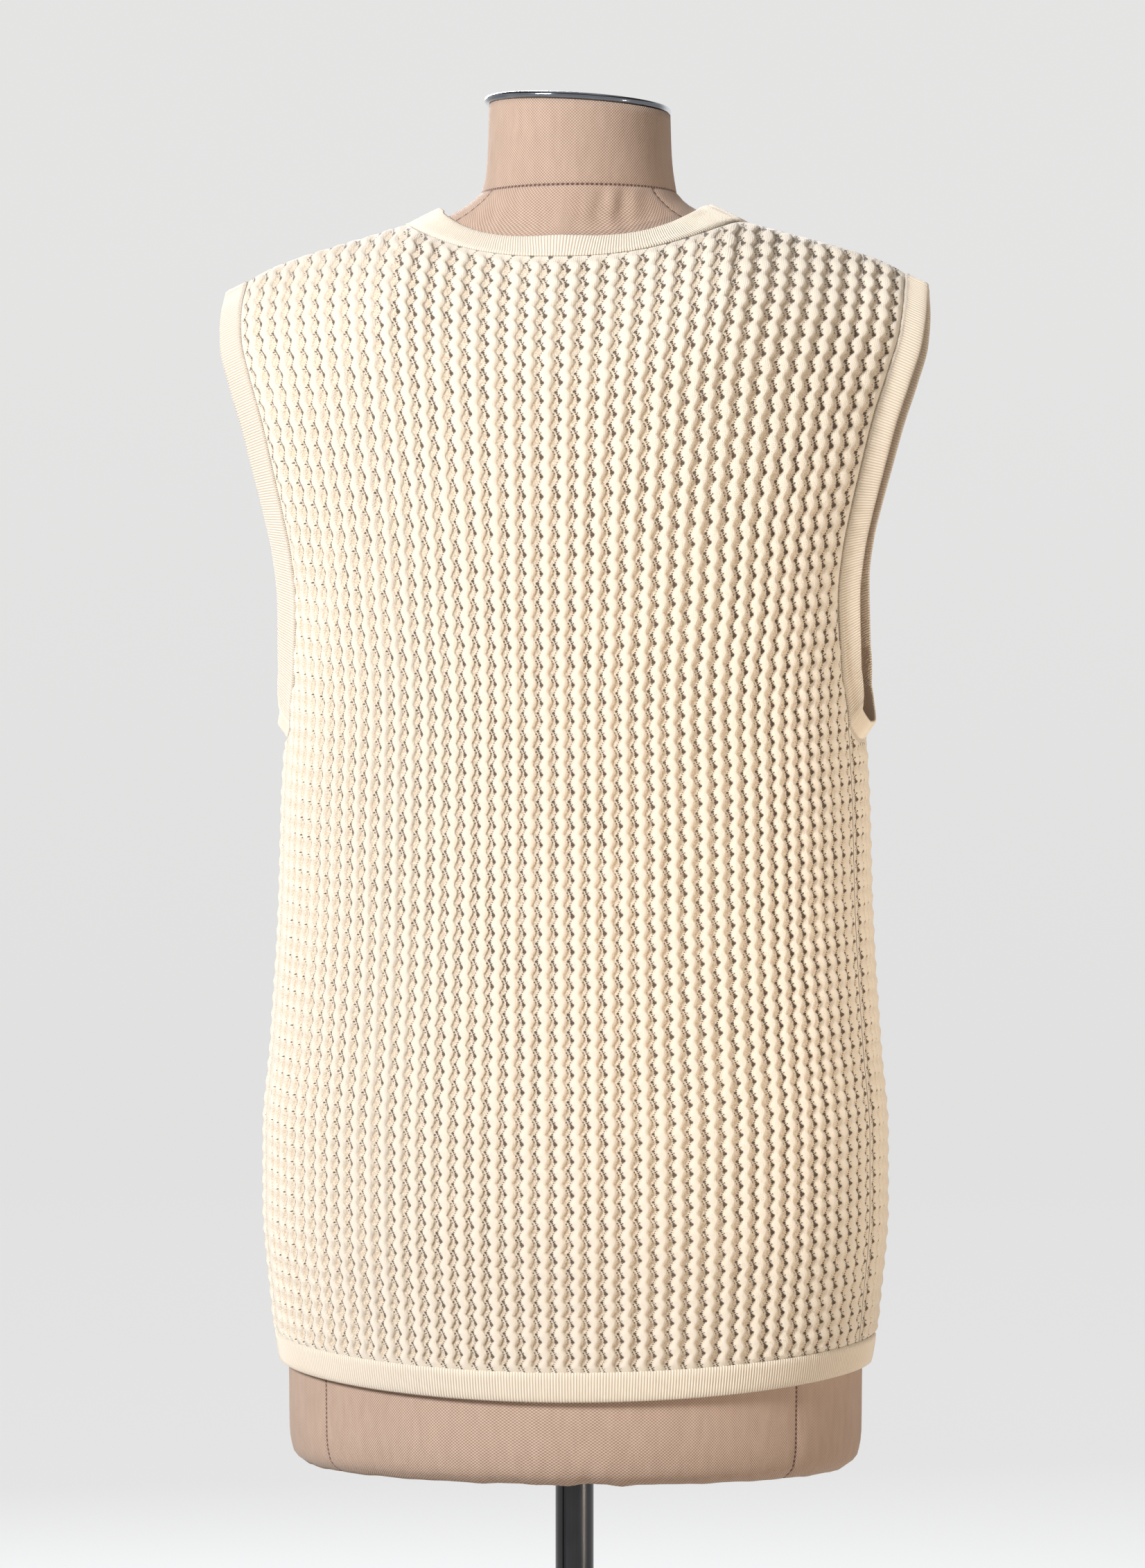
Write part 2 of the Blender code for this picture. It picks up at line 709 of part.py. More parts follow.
def hem_band(material, collection):
    """Band below the panels, open between the front edges and drawn in at its lower edge."""
    half_width = smooth_read(GARMENT_RINGS, "half_width", HEM_SIDE)
    start = math.asin((BUTTON_BAND_HALF + TOUCH_GAP) / half_width)
    lines = []
    for share, drawn_in in ((0.0, 0.0), (0.5, 0.0002), (1.0, 0.0008)):
        line = []
        for step in range(HEM_BAND_STEPS + 1):
            angle = mix(start - math.pi, math.pi - start, step / HEM_BAND_STEPS)
            height = hem_height(angle) - share * HEM_BAND_WIDTH
            point = ring_point(GARMENT_RINGS, angle, height)
            outward = Vector((point.x, point.y, 0.0)).normalized()
            line.append(point + outward * (BAND_WALL / 2 - drawn_in + TOUCH_GAP))
        lines.append(line)
    return strip_wall("hem_band", lines, False, BAND_WALL, material, collection)


def edge_point(panel, across, level):
    """Middle of the wall at a cut edge, and the direction out of the cloth there."""
    normal = panel.normal(across, level)
    return panel.point(across, level) + normal * (BAND_WALL / 2), normal


def onward(edge, hand):
    """Directions in which the cloth would go on past each point of a closed cut edge."""
    found = []
    for index, (_, normal) in enumerate(edge):
        before = edge[index - 1][0]
        after = edge[(index + 1) % len(edge)][0]
        found.append(normal.cross(after - before).normalized() * hand)
    return found


def armhole_edge(back, front, hand):
    """Cut edge round the armhole: up the back, down the front, then under the arm."""
    back_across = 1.0 if hand > 0 else 0.0
    edge = [edge_point(back, back_across, 1.0 + share) for share in UPPER_SHARES]
    limit = front.last_across(2.0)
    for share in reversed(UPPER_SHARES[:-1]):
        edge.append(edge_point(front, limit, 1.0 + share))
    count = front.columns - front.upper_columns
    for step in range(count + 1):
        edge.append(edge_point(front, mix(limit, 1.0, step / count), 1.0))
    return edge


def band_direction(point, hand):
    """Direction from an armhole's cut edge to its band's free edge."""
    centre_height = mix(UNDERARM, shoulder_seam(TIP_HALF_WIDTH)[0], 0.5)
    to_centre = Vector((0.0, -point.y, centre_height - point.z)).normalized()
    above_underarm = clamp((point.z - UNDERARM - 0.010) / 0.080)
    sideways = Vector((hand * mix(BAND_FLARE_LOW, BAND_FLARE_HIGH, above_underarm), 0.0, 0.0))
    return (sideways + to_centre * BAND_CLOSING).normalized()


def armhole_band(name, back, front, hand, material, collection):
    """Band of four lines round an armhole, with a short bend next to the cut edge."""
    edge = armhole_edge(back, front, hand)
    lines = [[], [], [], []]
    step = (ARMHOLE_BAND_WIDTH - ARMHOLE_BEND) / 2
    for (point, _), way in zip(edge, onward(edge, hand)):
        turn = band_direction(point, hand)
        first = point + way * (3 * TOUCH_GAP)
        second = first + (way * 0.8 + turn * 0.2).normalized() * ARMHOLE_BEND
        lines[0].append(first)
        lines[1].append(second)
        lines[2].append(second + turn * step)
        lines[3].append(second + turn * 2 * step)
    return strip_wall(name, lines, True, BAND_WALL, material, collection)


def neck_edge(back, fronts):
    """Cut edge of the neckline, from the left front edge round to the right one."""
    point_step = 1.0 / (FRONT_COLUMNS * POINTS_A_COLUMN)
    span = (NECK_HALF_WIDTH - BUTTON_BAND_HALF) / (TIP_HALF_WIDTH - BUTTON_BAND_HALF)
    front_count = int(span * FRONT_COLUMNS_ABOVE_UNDERARM * POINTS_A_COLUMN)
    left = [edge_point(fronts[1], i * point_step, 2.0) for i in range(front_count + 1)]
    right = [edge_point(fronts[-1], i * point_step, 2.0) for i in range(front_count + 1)]
    point_step = 1.0 / (BACK_COLUMNS * POINTS_A_COLUMN)
    back_count = int(BACK_COLUMNS * NECK_HALF_WIDTH / TIP_HALF_WIDTH)
    middle = [
        edge_point(back, 0.5 - i * point_step, 2.0) for i in range(-back_count, back_count + 1)
    ]
    return left + middle + right[::-1]


def neck_band(back, fronts, material, collection):
    """Band from one front edge, round the back of the neck, to the other."""
    lines = [[], [], [], []]
    shares = (5 * TOUCH_GAP, 0.3 * NECK_BAND_WIDTH, 0.65 * NECK_BAND_WIDTH, NECK_BAND_WIDTH)
    for middle, _ in neck_edge(back, fronts):
        up_neck = neck_directions(middle)[0]
        for line, share in zip(lines, shares):
            line.append(clear_of_form(middle + up_neck * share, BAND_CLEARANCE))
    return strip_wall("neck_band", lines, False, BAND_WALL, material, collection)


def front_edge_line(front):
    """Heights and depths of the front's straight edge, from the hem band to the neckline."""
    return [front.point(0.0, level) for level in front.levels()]


def band_point(line, x, height, lift):
    """Point of the button band's middle plane, moved out by lift."""
    if height <= line[0].z:
        depth = line[0].y + BAND_FOOT_SLOPE * (line[0].z - height)
    elif height >= line[-1].z:
        depth = -cloth_on_form(x, height, "front")
    else:
        index = max(i for i, point in enumerate(line[:-1]) if point.z <= height)
        share = (height - line[index].z) / (line[index + 1].z - line[index].z)
        depth = mix(line[index].y, line[index + 1].y, share)
    crown = BUTTON_BAND_CROWN * (1.0 - (x / BUTTON_BAND_HALF) ** 2)
    return Vector((x, depth - crown - lift, height))


def button_band(name, line, lift, material, collection):
    """Band from the hem band's lower edge to the neck band's upper edge."""
    steps = 3 * (BUTTON_COUNT - 1)
    heights = [HEM_SIDE - HEM_DIP]
    heights += [mix(LOWEST_BUTTON, HIGHEST_BUTTON, step / steps) for step in range(steps + 1)]
    heights.append(FRONT_NECK_HEIGHT)
    heights.append(mix(FRONT_NECK_HEIGHT, BUTTON_BAND_TOP, 0.5))
    heights.append(BUTTON_BAND_TOP)
    lines = []
    for share in (-1.0, 0.0, 1.0):
        x = share * (BUTTON_BAND_HALF - TOUCH_GAP)
        lines.append([band_point(line, x, height, lift) for height in heights])
    return strip_wall(name, lines, False, BAND_WALL, material, collection)


def buttons(line, lift, material, collection):
    """Round buttons with a raised rim, spaced evenly up the front."""
    well_height = BUTTON_THICKNESS - BUTTON_WELL
    profile = (
        (0.0, well_height),
        (BUTTON_RADIUS - 0.0022, well_height),
        (BUTTON_RADIUS - BUTTON_RIM, BUTTON_THICKNESS),
        (BUTTON_RADIUS, BUTTON_THICKNESS - 0.0008),
        (BUTTON_RADIUS, 0.0006),
        (BUTTON_RADIUS - 0.001, 0.0),
        (0.0, 0.0),
    )
    for number in range(BUTTON_COUNT):
        height = mix(LOWEST_BUTTON, HIGHEST_BUTTON, number / (BUTTON_COUNT - 1))
        centre = band_point(line, 0.0, height, lift)
        above = band_point(line, 0.0, height + 0.005, lift)
        along = (above - centre).normalized()
        out = Vector((0.0, -along.z, along.y))
        name = f"button_{number + 1}"
        button = turned(name, profile, BUTTON_SIDES, material, collection)
        button.rotation_mode = "QUATERNION"
        button.rotation_quaternion = out.to_track_quat("Z", "Y")
        button.location = centre + Vector((0.0, 0.0, FORM_UNDERSIDE))


def main():
    """Remove what is there, then build the form, the stand and the cardigan."""
    for existing in list(bpy.data.objects):
        bpy.data.objects.remove(existing, do_unlink=True)
    collection = bpy.data.collections.new("cardigan_on_dress_form")
    cutters = bpy.data.collections.new("cutters")
    bpy.context.scene.collection.children.link(collection)
    bpy.context.scene.collection.children.link(cutters)
    materials = {
        "knit": new_material("cotton_knit", (0.80, 0.70, 0.56), 0.85),
        "rib": new_material("rib_knit", (0.82, 0.73, 0.60), 0.85),
        "button": new_material("shell_button", (0.78, 0.70, 0.58), 0.35),
        "cover": new_material("form_cover", (0.45, 0.31, 0.26), 0.80),
        "chrome": new_material("polished_cap", (0.75, 0.75, 0.77), 0.12, 1.0),
        "metal": new_material("dark_metal", (0.06, 0.06, 0.065), 0.35, 1.0),
    }
    form_torso(materials["cover"], collection)
    neck_cap(materials["chrome"], collection)
    stand_base(materials["metal"], collection)
    stand_collar(materials["metal"], collection)
    stand_pole(materials["metal"], collection, cutters)
    back = Panel("back", 1.0)
    fronts = {1: Panel("front", 1.0), -1: Panel("front", -1.0)}
    knit_wall("knit_back", back, materials["knit"], collection)
    knit_wall("knit_front_left", fronts[1], materials["knit"], collection)
    knit_wall("knit_front_right", fronts[-1], materials["knit"], collection)
    hem_band(materials["rib"], collection)
    armhole_band("armhole_band_left", back, fronts[1], 1.0, materials["rib"], collection)
    armhole_band("armhole_band_right", back, fronts[-1], -1.0, materials["rib"], collection)
    neck_band(back, fronts, materials["rib"], collection)
    line = front_edge_line(fronts[1])
    under = BAND_WALL / 2
    over = under + BAND_WALL + TOUCH_GAP
    button_band("button_band_left", line, under, materials["rib"], collection)
    button_band("button_band_right", line, over, materials["rib"], collection)
    buttons(line, over + BAND_WALL / 2 + 2 * TOUCH_GAP, materials["button"], collection)


main()
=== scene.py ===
"""Sleeveless openwork cardigan on a covered dress form: knit, rib bands, buttons, form, stand and studio.

Metres, +Z up. The front faces -Y and the wearer's left is +X. Heights in the tables are measured upward
from the underside of the dress form.
"""

import logging
import math
from dataclasses import dataclass, field
from enum import Enum
from typing import Any, NamedTuple, Sequence

import bpy
import numpy as np
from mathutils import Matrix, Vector


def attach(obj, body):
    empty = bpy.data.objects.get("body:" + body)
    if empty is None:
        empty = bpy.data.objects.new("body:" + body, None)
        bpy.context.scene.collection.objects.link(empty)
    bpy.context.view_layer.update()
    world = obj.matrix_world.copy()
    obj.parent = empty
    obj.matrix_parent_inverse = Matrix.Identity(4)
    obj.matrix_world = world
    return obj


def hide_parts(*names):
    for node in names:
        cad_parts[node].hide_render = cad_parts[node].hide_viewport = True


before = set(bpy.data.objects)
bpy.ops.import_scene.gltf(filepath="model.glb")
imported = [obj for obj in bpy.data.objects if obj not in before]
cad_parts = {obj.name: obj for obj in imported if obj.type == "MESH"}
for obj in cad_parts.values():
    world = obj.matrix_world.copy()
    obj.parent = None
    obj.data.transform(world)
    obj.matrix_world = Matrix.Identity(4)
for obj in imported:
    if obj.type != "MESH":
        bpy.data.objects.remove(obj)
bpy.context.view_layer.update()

LOG = logging.getLogger("cardigan")
Array = np.ndarray
LEVEL = np.array([1.0, 1.0, 0.0])
UPRIGHT = np.array([0.0, 0.0, 1.0])
Colour = tuple[float, float, float]
Place = tuple[float, float, float]

FORM_UNDERSIDE = 0.620
TOUCH_GAP = 0.0003
BODY = "root"
FULL_TURN = 2.0 * math.pi
SHARP_EDGE = math.radians(35.0)


class Side(Enum):
    """Half of the cardigan that a panel belongs to."""

    BACK = "back"
    FRONT = "front"


class Track(Enum):
    """Line in the knit that a grid line keeps beside."""

    HOLES = "holes"
    RIDGE = "ridge"


class Ring(NamedTuple):
    """Level section: half its width and its reach behind and before the pole's axis."""

    height: float
    half_width: float
    back: float
    front: float
    fullness: float = 2.0


class ArmholeRow(NamedTuple):
    """Cut edge of the armhole at one share of the way from the underarm to the shoulder tip."""

    share: float
    half_width: float
    back: float
    front: float


class WaveRow(NamedTuple):
    """Knit at one height: a wave's height, how far the courses dip in the middle, and near the neck."""

    height: float
    wave: float
    dip: float
    neck_dip: float


class CutAway(NamedTuple):
    """Columns that the armhole cuts away at one share of the way up from the underarm."""

    share: float
    columns: float


class Phase(NamedTuple):
    """Grid line of the knit: the track it follows, its offset in columns, and how high it stands."""

    track: Track
    offset: float
    rise: float


class Hole(NamedTuple):
    """Gap in one cell of the knit, in columns across and waves down, with its half sizes."""

    across: float
    down: float
    half_across: float
    half_down: float


class Turn(NamedTuple):
    """Point of a turned profile."""

    radius: float
    height: float


class Fold(NamedTuple):
    """Gathers round the form's foot: their share of the whole, how many go round, and where they start."""

    share: float
    count: float
    start: float


FORM_RINGS = (
    Ring(0.000, 0.1560, 0.1040, 0.1040),
    Ring(0.006, 0.1630, 0.1110, 0.1110),
    Ring(0.020, 0.1655, 0.1140, 0.1140),
    Ring(0.060, 0.1660, 0.1155, 0.1150),
    Ring(0.120, 0.1700, 0.1200, 0.1185),
    Ring(0.170, 0.1670, 0.1180, 0.1150),
    Ring(0.240, 0.1440, 0.1040, 0.1010),
    Ring(0.318, 0.1200, 0.0880, 0.0900),
    Ring(0.380, 0.1280, 0.0930, 0.1080),
    Ring(0.450, 0.1430, 0.1040, 0.1260),
    Ring(0.510, 0.1500, 0.1080, 0.1190),
    Ring(0.560, 0.1580, 0.1080, 0.1060),
    Ring(0.605, 0.1660, 0.1020, 0.0940),
    Ring(0.640, 0.1700, 0.0920, 0.0840),
    Ring(0.6640, 0.1685, 0.0808, 0.0757, 1.8),
    Ring(0.6810, 0.1660, 0.0702, 0.0678, 1.6),
    Ring(0.6930, 0.1640, 0.0633, 0.0624, 1.42),
    Ring(0.6994, 0.1445, 0.0592, 0.0607, 1.36),
    Ring(0.7050, 0.1235, 0.0566, 0.0604, 1.34),
    Ring(0.7090, 0.1055, 0.0555, 0.0603, 1.36),
    Ring(0.7136, 0.0890, 0.0544, 0.0614, 1.48),
    Ring(0.7190, 0.0740, 0.0535, 0.0610, 1.75),
    Ring(0.728, 0.0600, 0.0525, 0.0600),
    Ring(0.736, 0.0552, 0.0520, 0.0590),
    Ring(0.757, 0.0530, 0.0510, 0.0560),
    Ring(0.780, 0.0523, 0.0505, 0.0555),
)

GARMENT_RINGS = (
    Ring(0.040, 0.1675, 0.1185, 0.1180),
    Ring(0.095, 0.1735, 0.1240, 0.1225),
    Ring(0.150, 0.1780, 0.1290, 0.1270),
    Ring(0.191, 0.1780, 0.1290, 0.1275),
    Ring(0.240, 0.1740, 0.1260, 0.1270),
    Ring(0.323, 0.1690, 0.1210, 0.1265),
    Ring(0.379, 0.1675, 0.1185, 0.1280),
    Ring(0.430, 0.1650, 0.1175, 0.1300),
    Ring(0.470, 0.1640, 0.1170, 0.1300),
    Ring(0.530, 0.1640, 0.1160, 0.1230),
    Ring(0.600, 0.1640, 0.1120, 0.1080),
    Ring(0.714, 0.1640, 0.1040, 0.0920),
)

ARMHOLE_ROWS = (
    ArmholeRow(0.00, 0.1590, 0.0305, 0.0355),
    ArmholeRow(0.14, 0.1560, 0.0375, 0.0420),
    ArmholeRow(0.28, 0.1545, 0.0420, 0.0455),
    ArmholeRow(0.38, 0.1570, 0.0440, 0.0475),
    ArmholeRow(0.47, 0.1615, 0.0450, 0.0480),
    ArmholeRow(0.57, 0.1675, 0.0445, 0.0470),
    ArmholeRow(0.68, 0.1745, 0.0425, 0.0450),
    ArmholeRow(0.78, 0.1825, 0.0380, 0.0400),
    ArmholeRow(0.87, 0.1888, 0.0305, 0.0315),
    ArmholeRow(0.95, 0.1905, 0.0175, 0.0180),
    ArmholeRow(1.00, 0.1905, 0.0000, 0.0000),
)

WAVE_ROWS = (
    WaveRow(0.060, 0.0092, 0.0115, 0.000),
    WaveRow(0.150, 0.0094, 0.0150, 0.000),
    WaveRow(0.211, 0.0096, 0.0160, 0.000),
    WaveRow(0.334, 0.0101, 0.0180, 0.000),
    WaveRow(0.457, 0.0105, 0.0230, 0.001),
    WaveRow(0.518, 0.0106, 0.0215, 0.004),
    WaveRow(0.572, 0.0104, 0.0140, 0.009),
    WaveRow(0.625, 0.0098, 0.0060, 0.015),
    WaveRow(0.714, 0.0086, 0.0000, 0.021),
)

ARMHOLE_CUT = (
    CutAway(0.00, 0.0),
    CutAway(0.08, 1.2),
    CutAway(0.20, 2.3),
    CutAway(0.35, 2.9),
    CutAway(0.60, 3.1),
    CutAway(1.00, 3.0),
)


def mix(start: Any, end: Any, share: Any) -> Any:
    """Value at a share of the way from start to end."""
    return start + (end - start) * share


def hold(value: Any) -> Any:
    """Value held between 0 and 1."""
    return np.clip(value, 0.0, 1.0)


def ease(value: Any, low: float, high: float) -> Any:
    """Smooth rise from 0 at low to 1 at high."""
    share = hold((value - low) / (high - low))
    return share * share * (3.0 - 2.0 * share)


def evened_angle(start: Any, end: Any, share: Any, evening: float = 0.075) -> Any:
    """Angle round an oval.

    Args:
        start: angle at share 0.
        end: angle at share 1.
        share: how far round it is.
        evening: how much the angles are moved, so that even shares are about even lengths.

    Returns:
        The angle.
    """
    angle = mix(start, end, share)
    uneven = np.sin(2.0 * angle) - mix(np.sin(2.0 * start), np.sin(2.0 * end), share)
    return angle - evening * uneven


def bell(distance: Any, reach: float) -> Any:
    """Soft fall from 1 at no distance to 0 well past the reach."""
    return np.exp(-((distance / reach) ** 2))


def unit(vectors: Array) -> Array:
    """Vectors of length 1 in the same directions."""
    return vectors / np.maximum(1e-12, np.linalg.norm(vectors, axis=-1, keepdims=True))


def points_of(x: Any, y: Any, z: Any) -> Array:
    """Points from arrays of coordinates that are stretched to one shape."""
    return np.stack(np.broadcast_arrays(x, y, z), axis=-1).astype(float)


def distances(points: Array) -> Array:
    """Distance of each point of a line from its start, along the line."""
    return np.concatenate([[0.0], np.cumsum(np.linalg.norm(np.diff(points, axis=0), axis=1))])


def even_line(points: Array, count: int, closed: bool, *others: Array) -> list[Array]:
    """Spaces a line's points evenly.

    Args:
        points: the line's points.
        count: how many points to return.
        closed: whether the last point runs on to the first.
        others: arrays of vectors that go with the points.

    Returns:
        The spaced points, then the vectors read at the same places.
    """
    routes = [np.vstack([one, one[:1]]) if closed else one for one in (points, *others)]
    lengths = distances(routes[0])
    wanted = np.linspace(0.0, lengths[-1], count, endpoint=not closed)
    return [
        np.stack([np.interp(wanted, lengths, route[:, axis]) for axis in range(3)], axis=-1)
        for route in routes
    ]


def smooth_loop(vectors: Array, reach: int, closed: bool) -> Array:
    """Averages vectors along a line.

    Args:
        vectors: one vector for each point of the line.
        reach: how many neighbours on each side count.
        closed: whether the line is a loop.

    Returns:
        The averaged vectors, at length 1.
    """
    mode = "wrap" if closed else "edge"
    padded = np.pad(vectors, ((reach, reach), (0, 0)), mode=mode)
    weights = np.hanning(2 * reach + 3)[1:-1]
    weights = weights / weights.sum()
    found = [np.convolve(padded[:, axis], weights, mode="valid") for axis in range(3)]
    return unit(np.stack(found, axis=-1))


class Table:
    """Rows with named columns, read on a smooth line that never overshoots them."""

    def __init__(self, rows: Sequence[Any]) -> None:
        """Keeps the columns as arrays."""
        self.places = np.array([row[0] for row in rows])
        self.columns = {name: np.array([getattr(row, name) for row in rows]) for name in rows[0]._fields}

    def read(self, column: str, at: Any) -> Array:
        """Reads one column.

        Args:
            column: the column's name.
            at: places in the first column.

        Returns:
            The column's values at those places.
        """
        places, values = self.places, self.columns[column]
        widths = np.diff(places)
        slopes = np.diff(values) / widths
        product, total = slopes[:-1] * slopes[1:], slopes[:-1] + slopes[1:]
        inner = np.where(product > 0.0, 2.0 * product / np.where(product > 0.0, total, 1.0), 0.0)
        tangents = np.concatenate([slopes[:1], inner, slopes[-1:]])
        at = np.clip(at, places[0], places[-1])
        index = np.clip(np.searchsorted(places, at, side="right") - 1, 0, len(places) - 2)
        share = (at - places[index]) / widths[index]
        rest = 1.0 - share
        return (
            values[index] * (1.0 + 2.0 * share) * rest**2
            + tangents[index] * widths[index] * share * rest**2
            + values[index + 1] * share**2 * (3.0 - 2.0 * share)
            - tangents[index + 1] * widths[index] * share**2 * rest
        )


def ring_points(table: Table, angle: Any, height: Any) -> Array:
    """Points of a body's rings.

    Args:
        table: the body's rings.
        angle: angles from the centre of the back, positive towards +X.
        height: heights above the form's underside.

    Returns:
        The points, heights still from the form's underside.
    """
    sine, cosine = np.sin(angle), np.cos(angle)
    depth = np.where(cosine > 0.0, table.read("back", height), table.read("front", height))
    power = 2.0 / table.read("fullness", height)
    across = np.copysign(np.abs(sine) ** power, sine)
    along = np.copysign(np.abs(cosine) ** power, cosine)
    return points_of(table.read("half_width", height) * across, depth * along, height)


def cell_corners(rows: int, columns: int, wrap: tuple[bool, bool]) -> Array:
    """Numbers of the four corners of each cell of a grid.

    Args:
        rows: how many rows of points it has.
        columns: how many points a row has.
        wrap: whether the last row, and the last column, run on to the first.

    Returns:
        The numbers, by row and column of the cell.
    """
    index = np.arange(rows * columns).reshape(rows, columns)
    if wrap[0]:
        index = np.vstack([index, index[:1]])
    if wrap[1]:
        index = np.hstack([index, index[:, :1]])
    return np.stack([index[:-1, :-1], index[:-1, 1:], index[1:, 1:], index[1:, :-1]], axis=-1)


def add_grid(
    name: str,
    points: Array,
    material: bpy.types.Material,
    outward: Array | None = None,
    keep: Array | None = None,
    wrap: tuple[bool, bool] = (False, False),
    marks: dict[str, Array] | None = None,
) -> bpy.types.Object:
    """Makes one object from a grid of points.

    Args:
        name: the object's name.
        points: rows of points, heights from the form's underside.
        material: the object's material.
        outward: directions out of the surface, or None where the order of the points is right.
        keep: which of the grid's cells get a face, or None for all.
        wrap: whether the last row, and the last column, run on to the first.
        marks: vectors kept on the points, by name.

    Returns:
        The object, riding on the body.
    """
    corners = cell_corners(*points.shape[:2], wrap)
    corners = corners[keep] if keep is not None else corners.reshape(-1, 4)
    flat = points.reshape(-1, 3)
    if outward is not None:
        faces = np.cross(flat[corners[:, 2]] - flat[corners[:, 0]], flat[corners[:, 3]] - flat[corners[:, 1]])
        if (faces * outward.reshape(-1, 3)[corners[:, 0]]).sum() < 0.0:
            corners = corners[:, ::-1]
    used, corners = np.unique(corners, return_inverse=True)
    corners = corners.reshape(-1, 4)
    mesh = bpy.data.meshes.new(name)
    mesh.from_pydata(flat[used].tolist(), [], corners.tolist())
    for label, vectors in (marks or {}).items():
        layer = mesh.attributes.new(label, "FLOAT_VECTOR", "POINT")
        layer.data.foreach_set("vector", vectors.reshape(-1, 3)[used].astype(np.float32).ravel())
    return add_piece(name, mesh, material)


def add_piece(name: str, mesh: bpy.types.Mesh, material: bpy.types.Material) -> bpy.types.Object:
    """Makes a smooth-shaded object at the form's height that rides on the body.

    Args:
        name: the object's name.
        mesh: its mesh, heights from the form's underside.
        material: its material.

    Returns:
        The object.
    """
    mesh.materials.append(material)
    mesh.shade_smooth()
    made = bpy.data.objects.new(name, mesh)
    bpy.context.scene.collection.objects.link(made)
    made.location.z = FORM_UNDERSIDE
    bpy.context.view_layer.update()
    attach(made, BODY)
    LOG.info("%s: %d faces", name, len(mesh.polygons))
    return made


def turned_grid(profile: Sequence[Turn], steps: int) -> tuple[Array, Array]:
    """Points and outward directions of a profile turned round Z.

    Args:
        profile: points from the bottom centre outward and up.
        steps: how many points each ring has.

    Returns:
        Rows of points, and the directions out of the surface.
    """
    angles = np.linspace(0.0, FULL_TURN, steps, endpoint=False)
    radius = np.array([row.radius for row in profile])[:, None]
    height = np.array([row.height for row in profile])[:, None]
    points = points_of(radius * np.cos(angles), radius * np.sin(angles), height)
    along = np.gradient(points, axis=0)
    around = points_of(-np.sin(angles), np.cos(angles), 0.0 * height)
    return points, np.cross(around, along)


class Value:
    """Socket of a shader node that takes part in arithmetic."""

    def __init__(self, shader: "Shader", socket: bpy.types.NodeSocket) -> None:
        """Keeps the socket and the shader that it belongs to."""
        self.shader = shader
        self.socket = socket

    def math(self, operation: str, *others: Any) -> "Value":
        """Feeds this value, then the others, to a Math node.

        Args:
            operation: the Math node's operation.
            others: values or numbers.

        Returns:
            The node's result.
        """
        inputs = dict(enumerate((self, *others)))
        return self.shader.node("ShaderNodeMath", {"operation": operation}, inputs)

    def __add__(self, other: Any) -> "Value":
        """Sum."""
        return self.math("ADD", other)

    def __radd__(self, other: Any) -> "Value":
        """Sum with a number first."""
        return self.math("ADD", other)

    def __sub__(self, other: Any) -> "Value":
        """Difference."""
        return self.math("SUBTRACT", other)

    def __rsub__(self, other: Any) -> "Value":
        """Difference from a number."""
        return self.shader.node("ShaderNodeMath", {"operation": "SUBTRACT"}, {0: other, 1: self})

    def __mul__(self, other: Any) -> "Value":
        """Product."""
        return self.math("MULTIPLY", other)

    def __truediv__(self, other: Any) -> "Value":
        """Quotient."""
        return self.math("DIVIDE", other)

    def fraction(self) -> "Value":
        """Part after the decimal point."""
        return self.math("FRACT")

    def size(self) -> "Value":
        """Value without its sign."""
        return self.math("ABSOLUTE")

    def wave(self) -> "Value":
        """Cosine with a period of 1, from 0 to 1."""
        return (self * FULL_TURN).math("COSINE") * 0.5 + 0.5

    def nearest(self) -> "Value":
        """Signed distance to the nearest whole number."""
        return (self + 0.5).fraction() - 0.5

    def ease(self, low: float, high: float) -> "Value":
        """Smooth rise between two values.

        Args:
            low: value at which the rise starts, at 0.
            high: value at which it ends, at 1.

        Returns:
            The rise.
        """
        return self.shader.node(
            "ShaderNodeMapRange",
            {"interpolation_type": "SMOOTHSTEP"},
            {"Value": self, "From Min": low, "From Max": high},
        )


